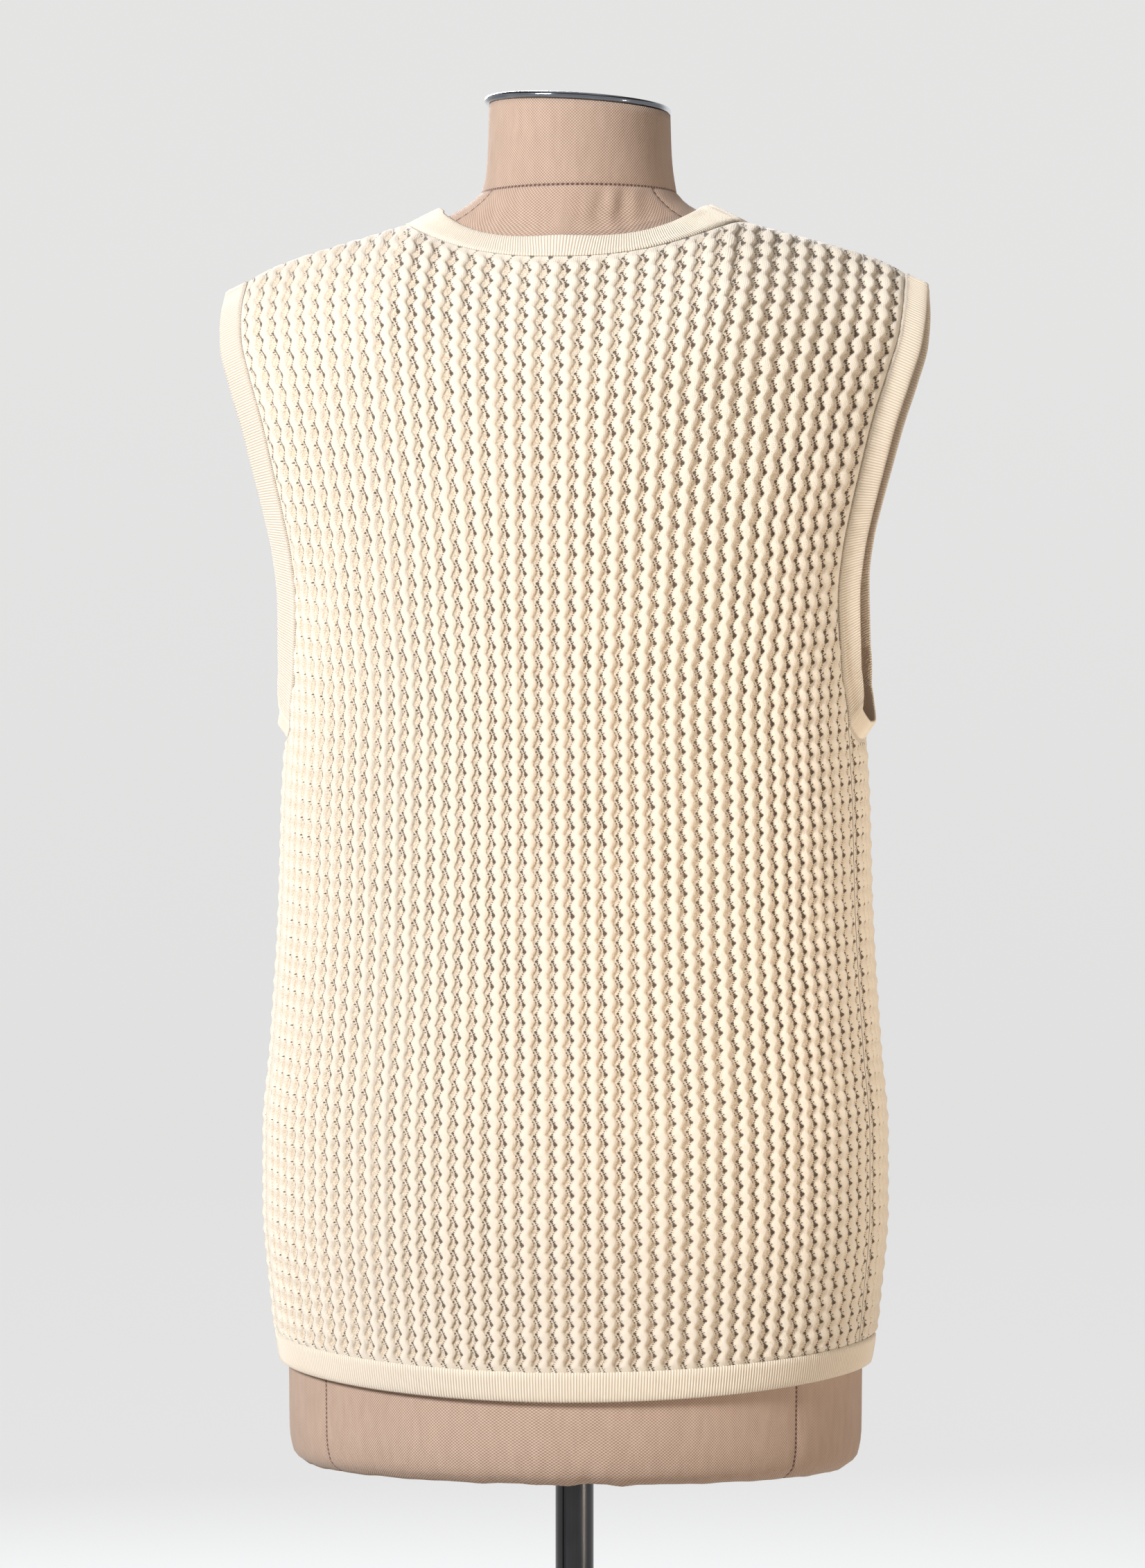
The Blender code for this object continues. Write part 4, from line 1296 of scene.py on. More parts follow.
@dataclass
class OpenworkPanel:
    """Panel of openwork knit: upright meandering ridges with a zigzag of gaps beside each."""

    name: str
    panel: Panel
    flat: tuple[float, float]
    area: float
    rests_on: tuple[str, ...]
    relief: float = 0.0024
    ground: float = 0.0006
    hole_swing: float = 0.12
    line_at: float = 0.45
    dip_half_width: float = 0.172
    neck_dip_reach: float = 0.130
    fanning: float = 0.10
    scalloping: float = 0.18
    settling: float = 0.30
    least_spacing: float = 0.04
    lowest_course: float = 0.04
    highest_course: float = 0.76
    wander: float = 0.06
    waves_a_wander: float = 5.0
    free_columns: float = 0.8
    scallop_start: float = 0.2
    edge_rise: float = 0.10
    edge_line_rise: float = 0.12
    edge_mark: float = 0.8
    seam_columns: float = 0.45
    flat_at_underarm: float = 0.012
    flat_at_top: float = 0.022
    flat_at_hem: float = 0.010
    least_width: float = 1e-6
    rows_a_wave: int = 5
    waves_below: int = 34
    waves_above: int = 26
    phases: tuple[Phase, ...] = GRID_PHASES
    courses: Table = field(default_factory=lambda: Table(WAVE_ROWS))
    cut_away: Table = field(default_factory=lambda: Table(ARMHOLE_CUT))

    @property
    def reversed(self) -> bool:
        """Whether columns are counted from the far edge, so that they read left to right from outside."""
        return self.panel.side is Side.BACK or self.panel.hand < 0.0

    def shift(self, phase: Phase, down: Array) -> Array:
        """Place of a grid line beside its column's middle line.

        Args:
            phase: the grid line.
            down: places down, in waves.

        Returns:
            The offsets, in columns.
        """
        if phase.track is Track.HOLES:
            turn = FULL_TURN * down
            return self.hole_swing * (np.cos(turn) + 0.1 * np.cos(3.0 * turn)) / 1.1 + phase.offset
        ridge = np.interp(np.mod(down, 1.0), RIDGE_DOWN, RIDGE_ACROSS, period=1.0)
        return 1.0 + ridge + phase.offset

    def lines(self) -> list[tuple[float, int, int]]:
        """Lists the grid lines in order.

        Returns:
            For each its mean place in columns from the panel's start, its column and its phase, or -1 for
            the panel's two edges.
        """
        count = self.panel.columns
        found = [(0.0, 0, -1), (float(count), 0, -1)]
        one_wave = np.linspace(0, 1, 20)
        for column in range(-1, count):
            for index, phase in enumerate(self.phases):
                mean = column + self.line_at + float(self.shift(phase, one_wave).mean())
                place = count - mean if self.reversed else mean
                if self.least_spacing < place < count - self.least_spacing:
                    found.append((place, column, index))
        return sorted(found)

    def waves_down(self, points: Array) -> Array:
        """Counts the waves between points and the highest course, on courses that dip in the middle.

        Args:
            points: the points.

        Returns:
            The waves.
        """
        x, height = np.abs(points[..., 0]), points[..., 2]
        low = (1.0 - hold(x / self.dip_half_width) ** 2) ** 0.75
        near_neck = 1.0 - ease(x, 0.0, self.neck_dip_reach)
        dipped = height + self.courses.read("dip", height) * low
        dipped = dipped + self.courses.read("neck_dip", height) * near_neck
        ladder = np.linspace(self.lowest_course, self.highest_course, 600)
        rungs = np.cumsum((ladder[1] - ladder[0]) / self.courses.read("wave", ladder))
        return rungs[-1] - np.interp(dipped, ladder, rungs)

    def across(self, places: Array, levels: Array) -> Array:
        """Share of the panel's width at a place in columns.

        Above the underarm the outermost columns run out at the armhole, and the others spread.

        Args:
            places: places, in columns from the panel's start.
            levels: levels.

        Returns:
            The shares, which stop at the panel's edges.
        """
        panel, count = self.panel, float(self.panel.columns)
        share = hold(levels - 1.0)
        lost = self.cut_away.read("columns", share)
        if panel.side is Side.BACK:
            along = mix(-1.0, 1.0, places / count)
            spread = along + self.fanning * share * np.sin(math.pi * along) / math.pi
            edge = 1.0 - 2.0 * lost / count
            reach = edge + self.fanning * share * np.sin(math.pi * edge) / math.pi
            return hold(0.5 + 0.5 * spread / reach)
        end = panel.limit * count
        upper = np.minimum(places, end - lost) / (end - lost) * panel.limit
        return np.where(levels > 1.0, upper, hold(places / count))

    def steadied(self, places: Array, levels: Array) -> Array:
        """Shares of the panel's width, with the columns running on over the underarm without a step.

        Args:
            places: places, in columns, a row for each level.
            levels: levels, a row each.

        Returns:
            The shares.
        """
        panel = self.panel
        shares = self.across(places, levels + 0.0 * places)
        hand = 1.0 if panel.side is Side.BACK else panel.hand
        level_one = np.ones_like(places)
        standing = hand * panel.points(self.across(places, level_one), level_one)[..., 0]
        tried = np.linspace(0.0, panel.limit, 400)
        for row in np.flatnonzero((levels[:, 0] > 1.0) & (levels[:, 0] < 1.0 + self.settling)):
            level = levels[row, 0]
            reached = np.maximum.accumulate(hand * panel.points(tried, level)[:, 0])
            usual = hand * panel.points(shares[row], level)[:, 0]
            wanted = mix(standing[row], usual, ease(level - 1.0, 0.0, self.settling))
            shares[row] = np.interp(wanted, reached, tried)
        return shares

    def levels(self) -> Array:
        """Level of each row of points, as one column."""
        below = np.linspace(0.0, 1.0, self.waves_below * self.rows_a_wave + 1)
        above = np.linspace(1.0, 2.0, self.waves_above * self.rows_a_wave + 1)[1:]
        return np.concatenate([below, above])[:, None]

    def follow_zigzag(self, lines: list[tuple[float, int, int]], down: Array) -> tuple[Array, Array]:
        """Lays the grid lines along the zigzag of gaps and ridges, with a little wander.

        Args:
            lines: the grid lines.
            down: waves down at each of their points.

        Returns:
            Places in columns from the panel's start, and heights of the relief from 0 to 1.
        """
        count = self.panel.columns
        places = np.empty_like(down)
        relief = np.empty_like(down)
        wobble = np.random.default_rng(WANDER_SEED).uniform(-0.5, 0.5, WANDER_TABLE)
        turns = np.arange(WANDER_TABLE[1])
        for index, (mean, column, phase_index) in enumerate(lines):
            if phase_index < 0:
                places[:, index] = mean
                relief[:, index] = self.edge_line_rise
                continue
            phase = self.phases[phase_index]
            drift = np.interp(down[:, index] / self.waves_a_wander, turns, wobble[column + 1])
            shifted = column + self.line_at + self.shift(phase, down[:, index]) + self.wander * drift
            shifted = count - shifted if self.reversed else shifted
            free = hold(min(mean, count - mean) / self.free_columns)
            places[:, index] = mean + free * (shifted - mean)
            scallop = np.cos(FULL_TURN * (down[:, index] - self.scallop_start))
            relief[:, index] = phase.rise * (1.0 - self.scalloping * scallop)
        return places, relief

    def inside(self, across: Array, levels: Array) -> Array:
        """How far from the panel's edges points are.

        Args:
            across: shares of the panel's width.
            levels: levels, a row each.

        Returns:
            0 at the seams and edges, 1 where the relief has its full height.
        """
        high = levels > 1.0
        end = np.where(high, self.panel.limit, 1.0)
        seam = ease(np.minimum(across, end - across) * self.panel.columns, 0.0, self.seam_columns)
        beside_arm = (across > self.panel.limit) & ~high
        under = np.where(beside_arm, ease(1.0 - levels, 0.0, self.flat_at_underarm), 1.0)
        top = ease(2.0 - levels, 0.0, self.flat_at_top)
        return seam * under * top * ease(levels, 0.0, self.flat_at_hem)

    def build(self, material: bpy.types.Material) -> bpy.types.Object:
        """Makes the panel.

        Args:
            material: the knit.

        Returns:
            The panel's object, which replaces its solid.
        """
        panel, levels, lines = self.panel, self.levels(), self.lines()
        means = np.array([line[0] for line in lines])
        first = panel.points(self.steadied(means[None, :] + 0.0 * levels, levels), levels)
        down = self.waves_down(first)
        places, relief = self.follow_zigzag(lines, down)
        across = self.steadied(places, levels)
        base = panel.points(across, levels + 0.0 * across)
        normal = panel.normals(across, levels + 0.0 * across)
        inside = self.inside(across, levels)
        relief = mix(self.edge_rise, relief, inside)
        outer = base + normal * (self.ground + self.relief * relief)[..., None]
        cells = panel.columns - places if self.reversed else places
        # The cell mark's third part is the relief, which sets how much painted valley shade the colour takes;
        # the flat edges get edge_mark, so they stay pale.
        marks = {"cell": points_of(cells - self.line_at, down, mix(self.edge_mark, relief, inside))}
        width = np.diff(across, axis=1)
        keep = width[:-1] + width[1:] > self.least_width
        rows_below = self.waves_below * self.rows_a_wave
        keep[rows_below] = width[rows_below + 1] > self.least_width
        made = add_grid(self.name + "_openwork", outer, material, normal, keep, marks=marks)
        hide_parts(self.name)
        return made


@dataclass
class RibBand:
    """Band of rib knit along an edge: ribs run across it, and its free edge is rounded."""

    name: str
    replaces: str
    flat: tuple[float, float]
    rests_on: tuple[str, ...]
    thickness: float = 0.0020
    rib_pitch: float = 0.00162
    rib_height: float = 0.00042
    points_a_rib: int = 4
    lines_across: int = 7
    ends: tuple[float, float] = (1.0, 0.75)
    inner_relief: float = 0.3
    nose_furrow: float = 0.75
    tail_share: float = 0.35
    chained: float = 0.0

    def count(self, length: float) -> int:
        """Points along a band of this length."""
        return self.points_a_rib * max(8, round(length / self.rib_pitch))

    def build(
        self, mids: Array, outward: Array, closed: bool, material: bpy.types.Material
    ) -> bpy.types.Object:
        """Makes the band.

        Args:
            mids: lines of its middle surface, from the edge that it is linked to outward.
            outward: directions out of the cloth, one for each point along the band.
            closed: whether the band is a loop.
            material: the rib knit.

        Returns:
            The band's object, which replaces its solid.
        """
        across = np.gradient(mids, axis=0)
        if closed:
            around = np.roll(mids, -1, axis=1) - np.roll(mids, 1, axis=1)
        else:
            around = np.gradient(mids, axis=1)
        normal = unit(np.cross(around, across))
        normal = normal * np.where((normal * outward[None]).sum(axis=-1) > 0.0, 1.0, -1.0)[..., None]
        steps = np.arange(mids.shape[1]) / self.points_a_rib
        rib = 0.5 + 0.5 * np.cos(FULL_TURN * steps)
        lines = mids.shape[0]
        half = np.full(lines, self.thickness / 2.0)
        half[0] *= self.ends[0]
        half[-1] *= self.ends[1]
        relief = np.full(lines, self.rib_height)
        relief[0] *= self.inner_relief
        raised = relief[:, None] * (rib - 0.5)
        outer = mids + normal * (half[:, None] + raised)[..., None]
        inner = mids - normal * (half[:, None] + self.inner_relief * raised)[..., None]
        rounding = 0.5 * self.thickness * mix(self.nose_furrow, 1.0, rib)
        nose = mids[-1] + unit(across[-1]) * rounding[:, None]
        tail = mids[0] - unit(across[0]) * self.tail_share * self.thickness * 0.5
        loop = np.concatenate([outer, nose[None], inner[::-1], tail[None]])
        reach = np.concatenate(
            [np.linspace(0.0, 1.0, lines), [1.0], np.linspace(1.0, 0.0, lines), [0.0]]
        )[:, None]
        marks = {"rib": points_of(steps[None, :] + 0.0 * reach, reach + 0.0 * steps, self.chained)}
        directions = np.concatenate([normal, unit(across[-1:]), -normal[::-1], -unit(across[:1])])
        if not closed:
            flat = np.concatenate([mids, nose[None], mids[::-1], tail[None]])
            loop = np.concatenate([flat[:, :1], loop, flat[:, -1:]], axis=1)
            directions = np.concatenate([directions[:, :1], directions, directions[:, -1:]], axis=1)
            rib_marks = marks["rib"]
            marks["rib"] = np.concatenate([rib_marks[:, :1], rib_marks, rib_marks[:, -1:]], axis=1)
        made = add_grid(self.name, loop, material, directions, wrap=(True, closed), marks=marks)
        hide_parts(self.replaces)
        return made


@dataclass
class ArmholeBand:
    """Band round one armhole, turned out and in towards its middle."""

    hand: float
    back: Panel
    front: Panel
    width: float = 0.0135
    bend: float = 0.0025
    wall: float = 0.0020
    flare_low: float = 0.30
    flare_high: float = 0.90
    flare_start: float = 0.010
    flare_rise: float = 0.080
    closing: float = 0.42
    bend_turn: float = 0.2
    strip_shares: tuple[float, ...] = (0.0, 0.28, 0.55, 0.8, 1.0)
    smoothing: float = 0.007
    edge_start: float = 0.02

    def edge(self) -> tuple[Array, Array]:
        """Follows the cut edge up the back, down the front and under the arm.

        Returns:
            Points in the middle of the cloth's thickness, and the directions out of the cloth.
        """
        shares = np.linspace(self.edge_start, 1.0, 220)
        back_across = np.full_like(shares, 1.0 if self.hand > 0.0 else 0.0)
        front_across = np.full_like(shares, self.front.limit)
        under = np.linspace(self.front.limit, 1.0, 60)[1:-1]
        runs = (
            (self.back, back_across, 1.0 + shares),
            (self.front, front_across, (1.0 + shares)[::-1]),
            (self.front, under, np.ones_like(under)),
        )
        points, normals = [], []
        for panel, across, level in runs:
            normal = panel.normals(across, level)
            points.append(panel.points(across, level) + normal * self.wall / 2.0)
            normals.append(normal)
        return np.concatenate(points), np.concatenate(normals)

    def build(self, material: bpy.types.Material) -> bpy.types.Object:
        """Makes the band from its cut edge, a short bend and a turned-out strip.

        Args:
            material: the rib knit.

        Returns:
            The band's object.
        """
        side = "left" if self.hand > 0.0 else "right"
        rib = RibBand(
            name=f"armhole_rib_{side}",
            replaces=f"armhole_band_{side}",
            flat=(0.0150, 0.585),
            rests_on=("knit_back", f"knit_front_{side}"),
            chained=1.0,
        )
        points, normals = self.edge()
        length = distances(np.vstack([points, points[:1]]))[-1]
        count = rib.count(length)
        edge, normal = even_line(points, count, True, normals)
        reach = round(self.smoothing / (length / count))
        normal = smooth_loop(unit(normal), reach, True)
        along = smooth_loop(unit(np.roll(edge, -1, axis=0) - np.roll(edge, 1, axis=0)), reach, True)
        way = unit(np.cross(normal, along)) * self.hand
        cut = self.back.cut
        middle = mix(cut.underarm, float(cut.shoulder_seam(cut.tip_half_width)[0]), 0.5)
        to_centre = unit(points_of(0.0, -edge[:, 1], middle - edge[:, 2]))
        above = hold((edge[:, 2] - cut.underarm - self.flare_start) / self.flare_rise)
        sideways = points_of(self.hand * mix(self.flare_low, self.flare_high, above), 0.0, 0.0)
        turn = smooth_loop(unit(sideways + to_centre * self.closing), reach, True)
        first = edge + way * (1.5 * TOUCH_GAP)
        second = first + unit(way * (1.0 - self.bend_turn) + turn * self.bend_turn) * self.bend
        half_way = first + unit(way) * self.bend * 0.5
        rest = self.width - self.bend
        strip = [second + turn * rest * share for share in self.strip_shares]
        return rib.build(np.stack([first, half_way, *strip]), normal, True, material)


@dataclass
class NeckBand:
    """Band from one front edge, round the back of the neck, to the other."""

    cut: Cut
    width: float = 0.0205
    wall: float = 0.0020
    clearance: float = 0.0028
    corner_gap: float = 0.0001
    smoothing: float = 0.006

    def build(self, material: bpy.types.Material) -> bpy.types.Object:
        """Makes the band, which stands up round the neck and stays clear of the form.

        Args:
            material: the rib knit.

        Returns:
            The band's object.
        """
        rib = RibBand("neck_rib", "neck_band", (0.0215, 0.470), ("knit_back", "form_torso"))
        start = self.cut.button_band_half + TOUCH_GAP
        corner = self.cut.neck_half_width - self.corner_gap
        side = np.linspace(start, corner, 200)
        back = np.linspace(corner, -corner, 400)[1:-1]
        runs = []
        for x, half in ((side, Side.FRONT), (back, Side.BACK), (-side[::-1], Side.FRONT)):
            height, depth = self.cut.top_edge(x, half)
            runs.append(points_of(x, depth if half is Side.BACK else -depth, height))
        line = np.concatenate(runs)
        length = distances(line)[-1]
        (line,) = even_line(line, rib.count(length) + 1, False)
        up_neck, outward = self.cut.neck_directions(line)
        reach = round(self.smoothing / (length / len(line)))
        up_neck = smooth_loop(up_neck, reach, False)
        outward = smooth_loop(outward, reach, False)
        middle = line + outward * self.wall / 2.0
        shares = np.linspace(2.0 * TOUCH_GAP, self.width, rib.lines_across)
        mids = np.stack([self.cut.form.clear(middle + up_neck * share, self.clearance) for share in shares])
        return rib.build(mids, outward, False, material)


@dataclass
class HemBand:
    """Band below the panels, open between the front edges."""

    cut: Cut
    wall: float = 0.0020
    drawn_in: float = 0.0008

    def build(self, material: bpy.types.Material) -> bpy.types.Object:
        """Makes the band, drawn in a little at its lower edge.

        Args:
            material: the rib knit.

        Returns:
            The band's object.
        """
        panels = ("knit_back", "knit_front_left", "knit_front_right")
        rib = RibBand("hem_rib", "hem_band", (0.0157, 0.885), panels)
        half_width = float(self.cut.rings.read("half_width", self.cut.hem_side))
        start = math.asin((self.cut.button_band_half + TOUCH_GAP) / half_width)
        angles = np.linspace(start - math.pi, math.pi - start, 1200)
        top = ring_points(self.cut.rings, angles, self.cut.hem_height(angles))
        lengths = distances(top)
        angles = np.interp(np.linspace(0.0, lengths[-1], rib.count(lengths[-1]) + 1), lengths, angles)
        rows = []
        for share in np.linspace(0.0, 1.0, rib.lines_across):
            height = self.cut.hem_height(angles) - share * self.cut.hem_band_width
            points = ring_points(self.cut.rings, angles, height)
            outward = unit(points * LEVEL)
            rows.append(points + outward * (self.wall / 2.0 + TOUCH_GAP - self.drawn_in * share**2))
        return rib.build(np.stack(rows), outward, False, material)


@dataclass
class FrontFastening:
    """Two button bands down the front and the buttons on the upper one."""

    cut: Cut
    front: Panel
    band_top: float = 0.6456
    foot_slope: float = 0.032
    crown: float = 0.0006
    wall: float = 0.0020
    button_count: int = 6
    lowest: float = 0.078
    highest: float = 0.612
    button_radius: float = 0.0075
    button_thickness: float = 0.0030
    button_dish: float = 0.0009
    slope_step: float = 0.005
    stitch_reach: float = 0.0013
    stitch_rise: float = 0.0007
    stitch_lift: float = 0.0001
    thread_radius: float = 0.00035

    def surface(self, x: Any, height: Any, lift: float) -> Array:
        """Points of a band's middle plane, moved out by lift.

        Args:
            x: places to the side.
            height: heights above the form's underside.
            lift: distance from the panels' inner face.

        Returns:
            The points.
        """
        line = self.front.points(np.zeros(400), np.linspace(0.0, 2.0, 400))
        low, top = line[0], line[-1]
        depth = np.interp(height, line[:, 2], line[:, 1])
        depth = np.where(height <= low[2], low[1] + self.foot_slope * (low[2] - height), depth)
        depth = np.where(height >= top[2], -self.cut.form.cloth_depth(x, height, Side.FRONT), depth)
        crown = self.crown * (1.0 - (x / self.cut.button_band_half) ** 2)
        return points_of(x, depth - crown - lift, height)

    def build_band(self, side: str, lift: float, material: bpy.types.Material) -> bpy.types.Object:
        """Makes one button band.

        Args:
            side: left or right.
            lift: distance of its middle from the panels' inner face.
            material: the rib knit.

        Returns:
            The band's object.
        """
        rib = RibBand(
            f"button_rib_{side}",
            f"button_band_{side}",
            (0.0254, 0.600),
            (f"knit_front_{side}",),
            ends=(0.8, 0.8),
        )
        bottom = self.cut.hem_side - self.cut.hem_dip
        count = rib.count(self.band_top - bottom) + 1
        heights = np.linspace(bottom, self.band_top, count)[None, :]
        half = self.cut.button_band_half - TOUCH_GAP - self.wall / 2.0
        x = np.linspace(-half, half, rib.lines_across)[:, None]
        mids = self.surface(x + 0.0 * heights, heights + 0.0 * x, lift)
        outward = points_of(np.zeros(count), -1.0, 0.0)
        return rib.build(mids, outward, False, material)

    def build_buttons(self, lift: float, shell: bpy.types.Material, thread: bpy.types.Material) -> None:
        """Makes the buttons with their sewn thread.

        Args:
            lift: distance of their underside from the panels' inner face.
            shell: the buttons' material.
            thread: the sewing thread.
        """
        radius, thick = self.button_radius, self.button_thickness
        profile = (
            Turn(0.0, 0.0),
            Turn(radius * 0.6, 0.0),
            Turn(radius - 0.0012, 0.0001),
            Turn(radius - 0.0003, 0.0006),
            Turn(radius, 0.0013),
            Turn(radius - 0.0002, thick - 0.0007),
            Turn(radius - 0.0008, thick - 0.0001),
            Turn(radius - 0.0014, thick),
            Turn(radius - 0.0020, thick - 0.0003),
            Turn(radius - 0.0028, thick - 0.0008),
            Turn(radius * 0.35, thick - self.button_dish),
            Turn(0.0, thick - self.button_dish),
        )
        grid, outward = turned_grid(profile, 48)
        for number in range(self.button_count):
            height = mix(self.lowest, self.highest, number / (self.button_count - 1))
            centre = self.surface(0.0, height, lift)
            above = self.surface(0.0, height + self.slope_step, lift)
            up = unit(above - centre)
            out = np.array([0.0, -up[2], up[1]])
            sideways = np.cross(up, out)
            turn = np.stack([sideways, up, out])
            name = f"shell_button_{number + 1}"
            made = add_grid(name, grid @ turn + centre, shell, outward @ turn, wrap=(False, True))
            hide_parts(f"button_{number + 1}")
            self.build_thread(number + 1, centre + out * (thick - self.button_dish), turn, thread)

    def build_thread(self, number: int, centre: Array, turn: Array, thread: bpy.types.Material) -> None:
        """Makes the two crossed stitches of one button.

        Args:
            number: the button's number.
            centre: middle of the button's face.
            turn: the button's own directions, as rows.
            thread: the sewing thread.
        """
        along = np.linspace(-1.0, 1.0, 11)
        ring = np.linspace(0.0, FULL_TURN, 9)[:-1, None]
        for index, slant in enumerate((1.0, -1.0)):
            arch = np.sqrt(np.maximum(0.0, 1.0 - along**2))
            rise = self.stitch_rise * arch + self.stitch_lift * index
            line = points_of(self.stitch_reach * along, self.stitch_reach * slant * along, rise)
            across = unit(np.array([-slant, 1.0, 0.0]))
            tube = line[:, None] + self.thread_radius * (np.cos(ring) * across + np.sin(ring) * UPRIGHT)
            away = tube - line[:, None]
            name = f"button_thread_{number}_{index + 1}"
            add_grid(name, tube @ turn + centre, thread, away @ turn, wrap=(False, True))


BESIDE_SEAM = (-0.011, -0.006, -0.003, 0.0, 0.003, 0.006, 0.011)
BESIDE_NECK_SEAM = (-0.0045, -0.0025, -0.0012, -0.0005, 0.0, 0.0005, 0.0012, 0.0025)
FOOT_ROWS = (0.0, 0.0015, 0.0035, 0.0065, 0.010, 0.0145)
FOOT_FOLDS = (Fold(0.5, 23.0, 0.0), Fold(0.3, 37.0, 1.7), Fold(0.2, 61.0, 0.4))


@dataclass
class DressForm:
    """Covered form with its seams, its gathered underside and its neck cap."""

    shape: FormShape = field(default_factory=FormShape)
    steps: int = 224
    rows: int = 150
    neck_seam: float = 0.7315
    seam_depth: float = 0.0007
    seam_reach: float = 0.0014
    column_spacing: float = 0.004
    row_spacing: float = 0.0012
    even_start: float = 0.020
    panel_seam: float = math.radians(54.0)
    neck_shift: float = 0.003
    shift_start: float = 0.712
    gather_x: float = 0.012
    gather_reach: float = 0.034
    gather_depth: float = 0.0014
    gather_height: float = 0.016
    least_gather: float = 0.25
    sag_depth: float = 0.0014
    sag_height: float = 0.010
    sag_turn: float = 0.07
    crease_pitch: float = 0.013
    crease_slant: float = 0.35
    neck_crease_x: float = 0.030
    neck_crease_reach: float = 0.017
    neck_crease_below: float = 0.013
    neck_crease_height: float = 0.010
    neck_crease: float = 0.0011
    underside_rings: tuple[float, ...] = (0.93, 0.75, 0.45, 0.12)
    underside_hollow: float = 0.0012
    top_rings: tuple[float, ...] = (0.6, 0.2)
    cap_shift: float = 0.0015
    cap_radius: float = 0.054
    cap_thickness: float = 0.004
    cap_forward: float = 0.0025

    @property
    def seams(self) -> tuple[float, ...]:
        """Angles of the upright seams."""
        return math.pi - self.panel_seam, self.panel_seam, -self.panel_seam, self.panel_seam - math.pi

    def grid_places(self) -> tuple[Array, Array]:
        """Places of the cover's points, closer beside the seams and at the foot.

        Returns:
            The angles as one row, and the heights as one column.
        """
        near_seams = (np.array(self.seams)[:, None] + np.array(BESIDE_SEAM)).ravel()
        even = np.linspace(-math.pi, math.pi, self.steps, endpoint=False)
        even = even[np.abs(even[:, None] - near_seams).min(axis=1) > self.column_spacing]
        angle = np.sort(np.concatenate([even, near_seams]))[None, :]
        near_neck = self.neck_seam + np.array(BESIDE_NECK_SEAM)
        even = np.linspace(self.even_start, self.shape.neck_top, self.rows)
        even = even[np.abs(even[:, None] - near_neck).min(axis=1) > self.row_spacing]
        return angle, np.sort(np.concatenate([FOOT_ROWS, even, near_neck]))[:, None]

    def puckers(self, points: Array, angle: Array) -> tuple[Array, Array, Array]:
        """Gathers at the foot and creases under the neck's seam.

        Args:
            points: points of the smooth cover.
            angle: their angles.

        Returns:
            How far the foot stands out, how far it sags, and how far the creases stand out.
        """
        across, up = points[..., 0], points[..., 2]
        drawn = mix(self.least_gather, 1.0, bell(across + self.gather_x, self.gather_reach))
        creased = np.cos(FULL_TURN * (across + self.crease_slant * up) / self.crease_pitch)
        foot = 0.5 * self.folds(angle) * drawn + creased * (drawn - self.least_gather)
        gather = self.gather_depth * np.exp(-up / self.gather_height) * foot
        sag = self.sag_depth * np.exp(-up / self.sag_height) * self.folds(angle + self.sag_turn) * drawn
        below = bell(up - self.neck_seam + self.neck_crease_below, self.neck_crease_height)
        below = below * (up < self.neck_seam)
        behind = bell(across + self.neck_crease_x, self.neck_crease_reach) * (points[..., 1] > 0.0)
        puff = self.neck_crease * below * behind * np.cos(FULL_TURN * across / self.crease_pitch)
        return gather, sag, puff

    def build_cover(self, material: bpy.types.Material) -> bpy.types.Object:
        """Makes the cover with its grooved seams and soft gathers at the foot.

        Args:
            material: the woven cover.

        Returns:
            The cover's object.
        """
        angle, height = self.grid_places()
        points = ring_points(self.shape.rings, angle + 0.0 * height, height + 0.0 * angle)
        radius = np.linalg.norm(points[..., :2], axis=-1)
        outward = unit(points * LEVEL)
        beside = np.min([np.abs(np.sin(angle - seam)) * radius for seam in self.seams], axis=0)
        upright = points[..., 2] < self.neck_seam
        beside = np.where(upright, beside, 1.0)
        level = np.abs(points[..., 2] - self.neck_seam)
        nearest = np.minimum(beside, level)
        along = np.where(level < beside, angle * radius, points[..., 2])
        groove = self.seam_depth * bell(nearest, self.seam_reach)
        gather, sag, puff = self.puckers(points, angle)
        points = points + outward * (gather - groove + puff)[..., None]
        points[..., 2] -= sag
        tilt = hold((height - self.shape.tilt_start) / (self.shape.neck_top - self.shape.tilt_start))
        points[..., 2] += points[..., 0] * math.tan(self.shape.neck_roll) * tilt
        lean = (height - self.shift_start) / (self.shape.tilt_start - self.shift_start)
        points[..., 0] -= self.neck_shift * hold(lean)
        marks = {
            "cloth": points_of(angle * radius, points[..., 2], 0.0),
            "seam": points_of(nearest, along, 0.0),
        }
        under = self.close_end(points[0], self.underside_rings, -self.underside_hollow)[::-1]
        over = self.close_end(points[-1], self.top_rings, 0.0)
        whole = np.concatenate([under, points, over])
        outwards = np.concatenate([under * 0.0 - UPRIGHT, outward, over * 0.0 + UPRIGHT])
        full = {
            name: np.concatenate([self.run_on(mark[0], under), mark, self.run_on(mark[-1], over)])
            for name, mark in marks.items()
        }
        made = add_grid("form_cover", whole, material, outwards, wrap=(False, True), marks=full)
        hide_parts("form_torso")
        return made

    def folds(self, angle: Array) -> Array:
        """Uneven gathers round the foot, from -1 to 1."""
        return sum(fold.share * np.sin(fold.count * angle + fold.start) for fold in FOOT_FOLDS)

    def close_end(self, rim: Array, shares: Sequence[float], lift: float) -> Array:
        """Rings that close one end.

        Args:
            rim: the last ring.
            shares: sizes of the rings, outer first.
            lift: height of the middle over the rim.

        Returns:
            The rings.
        """
        centre = UPRIGHT * (rim[:, 2].mean() + lift)
        return np.stack([mix(centre, rim, share) for share in shares])

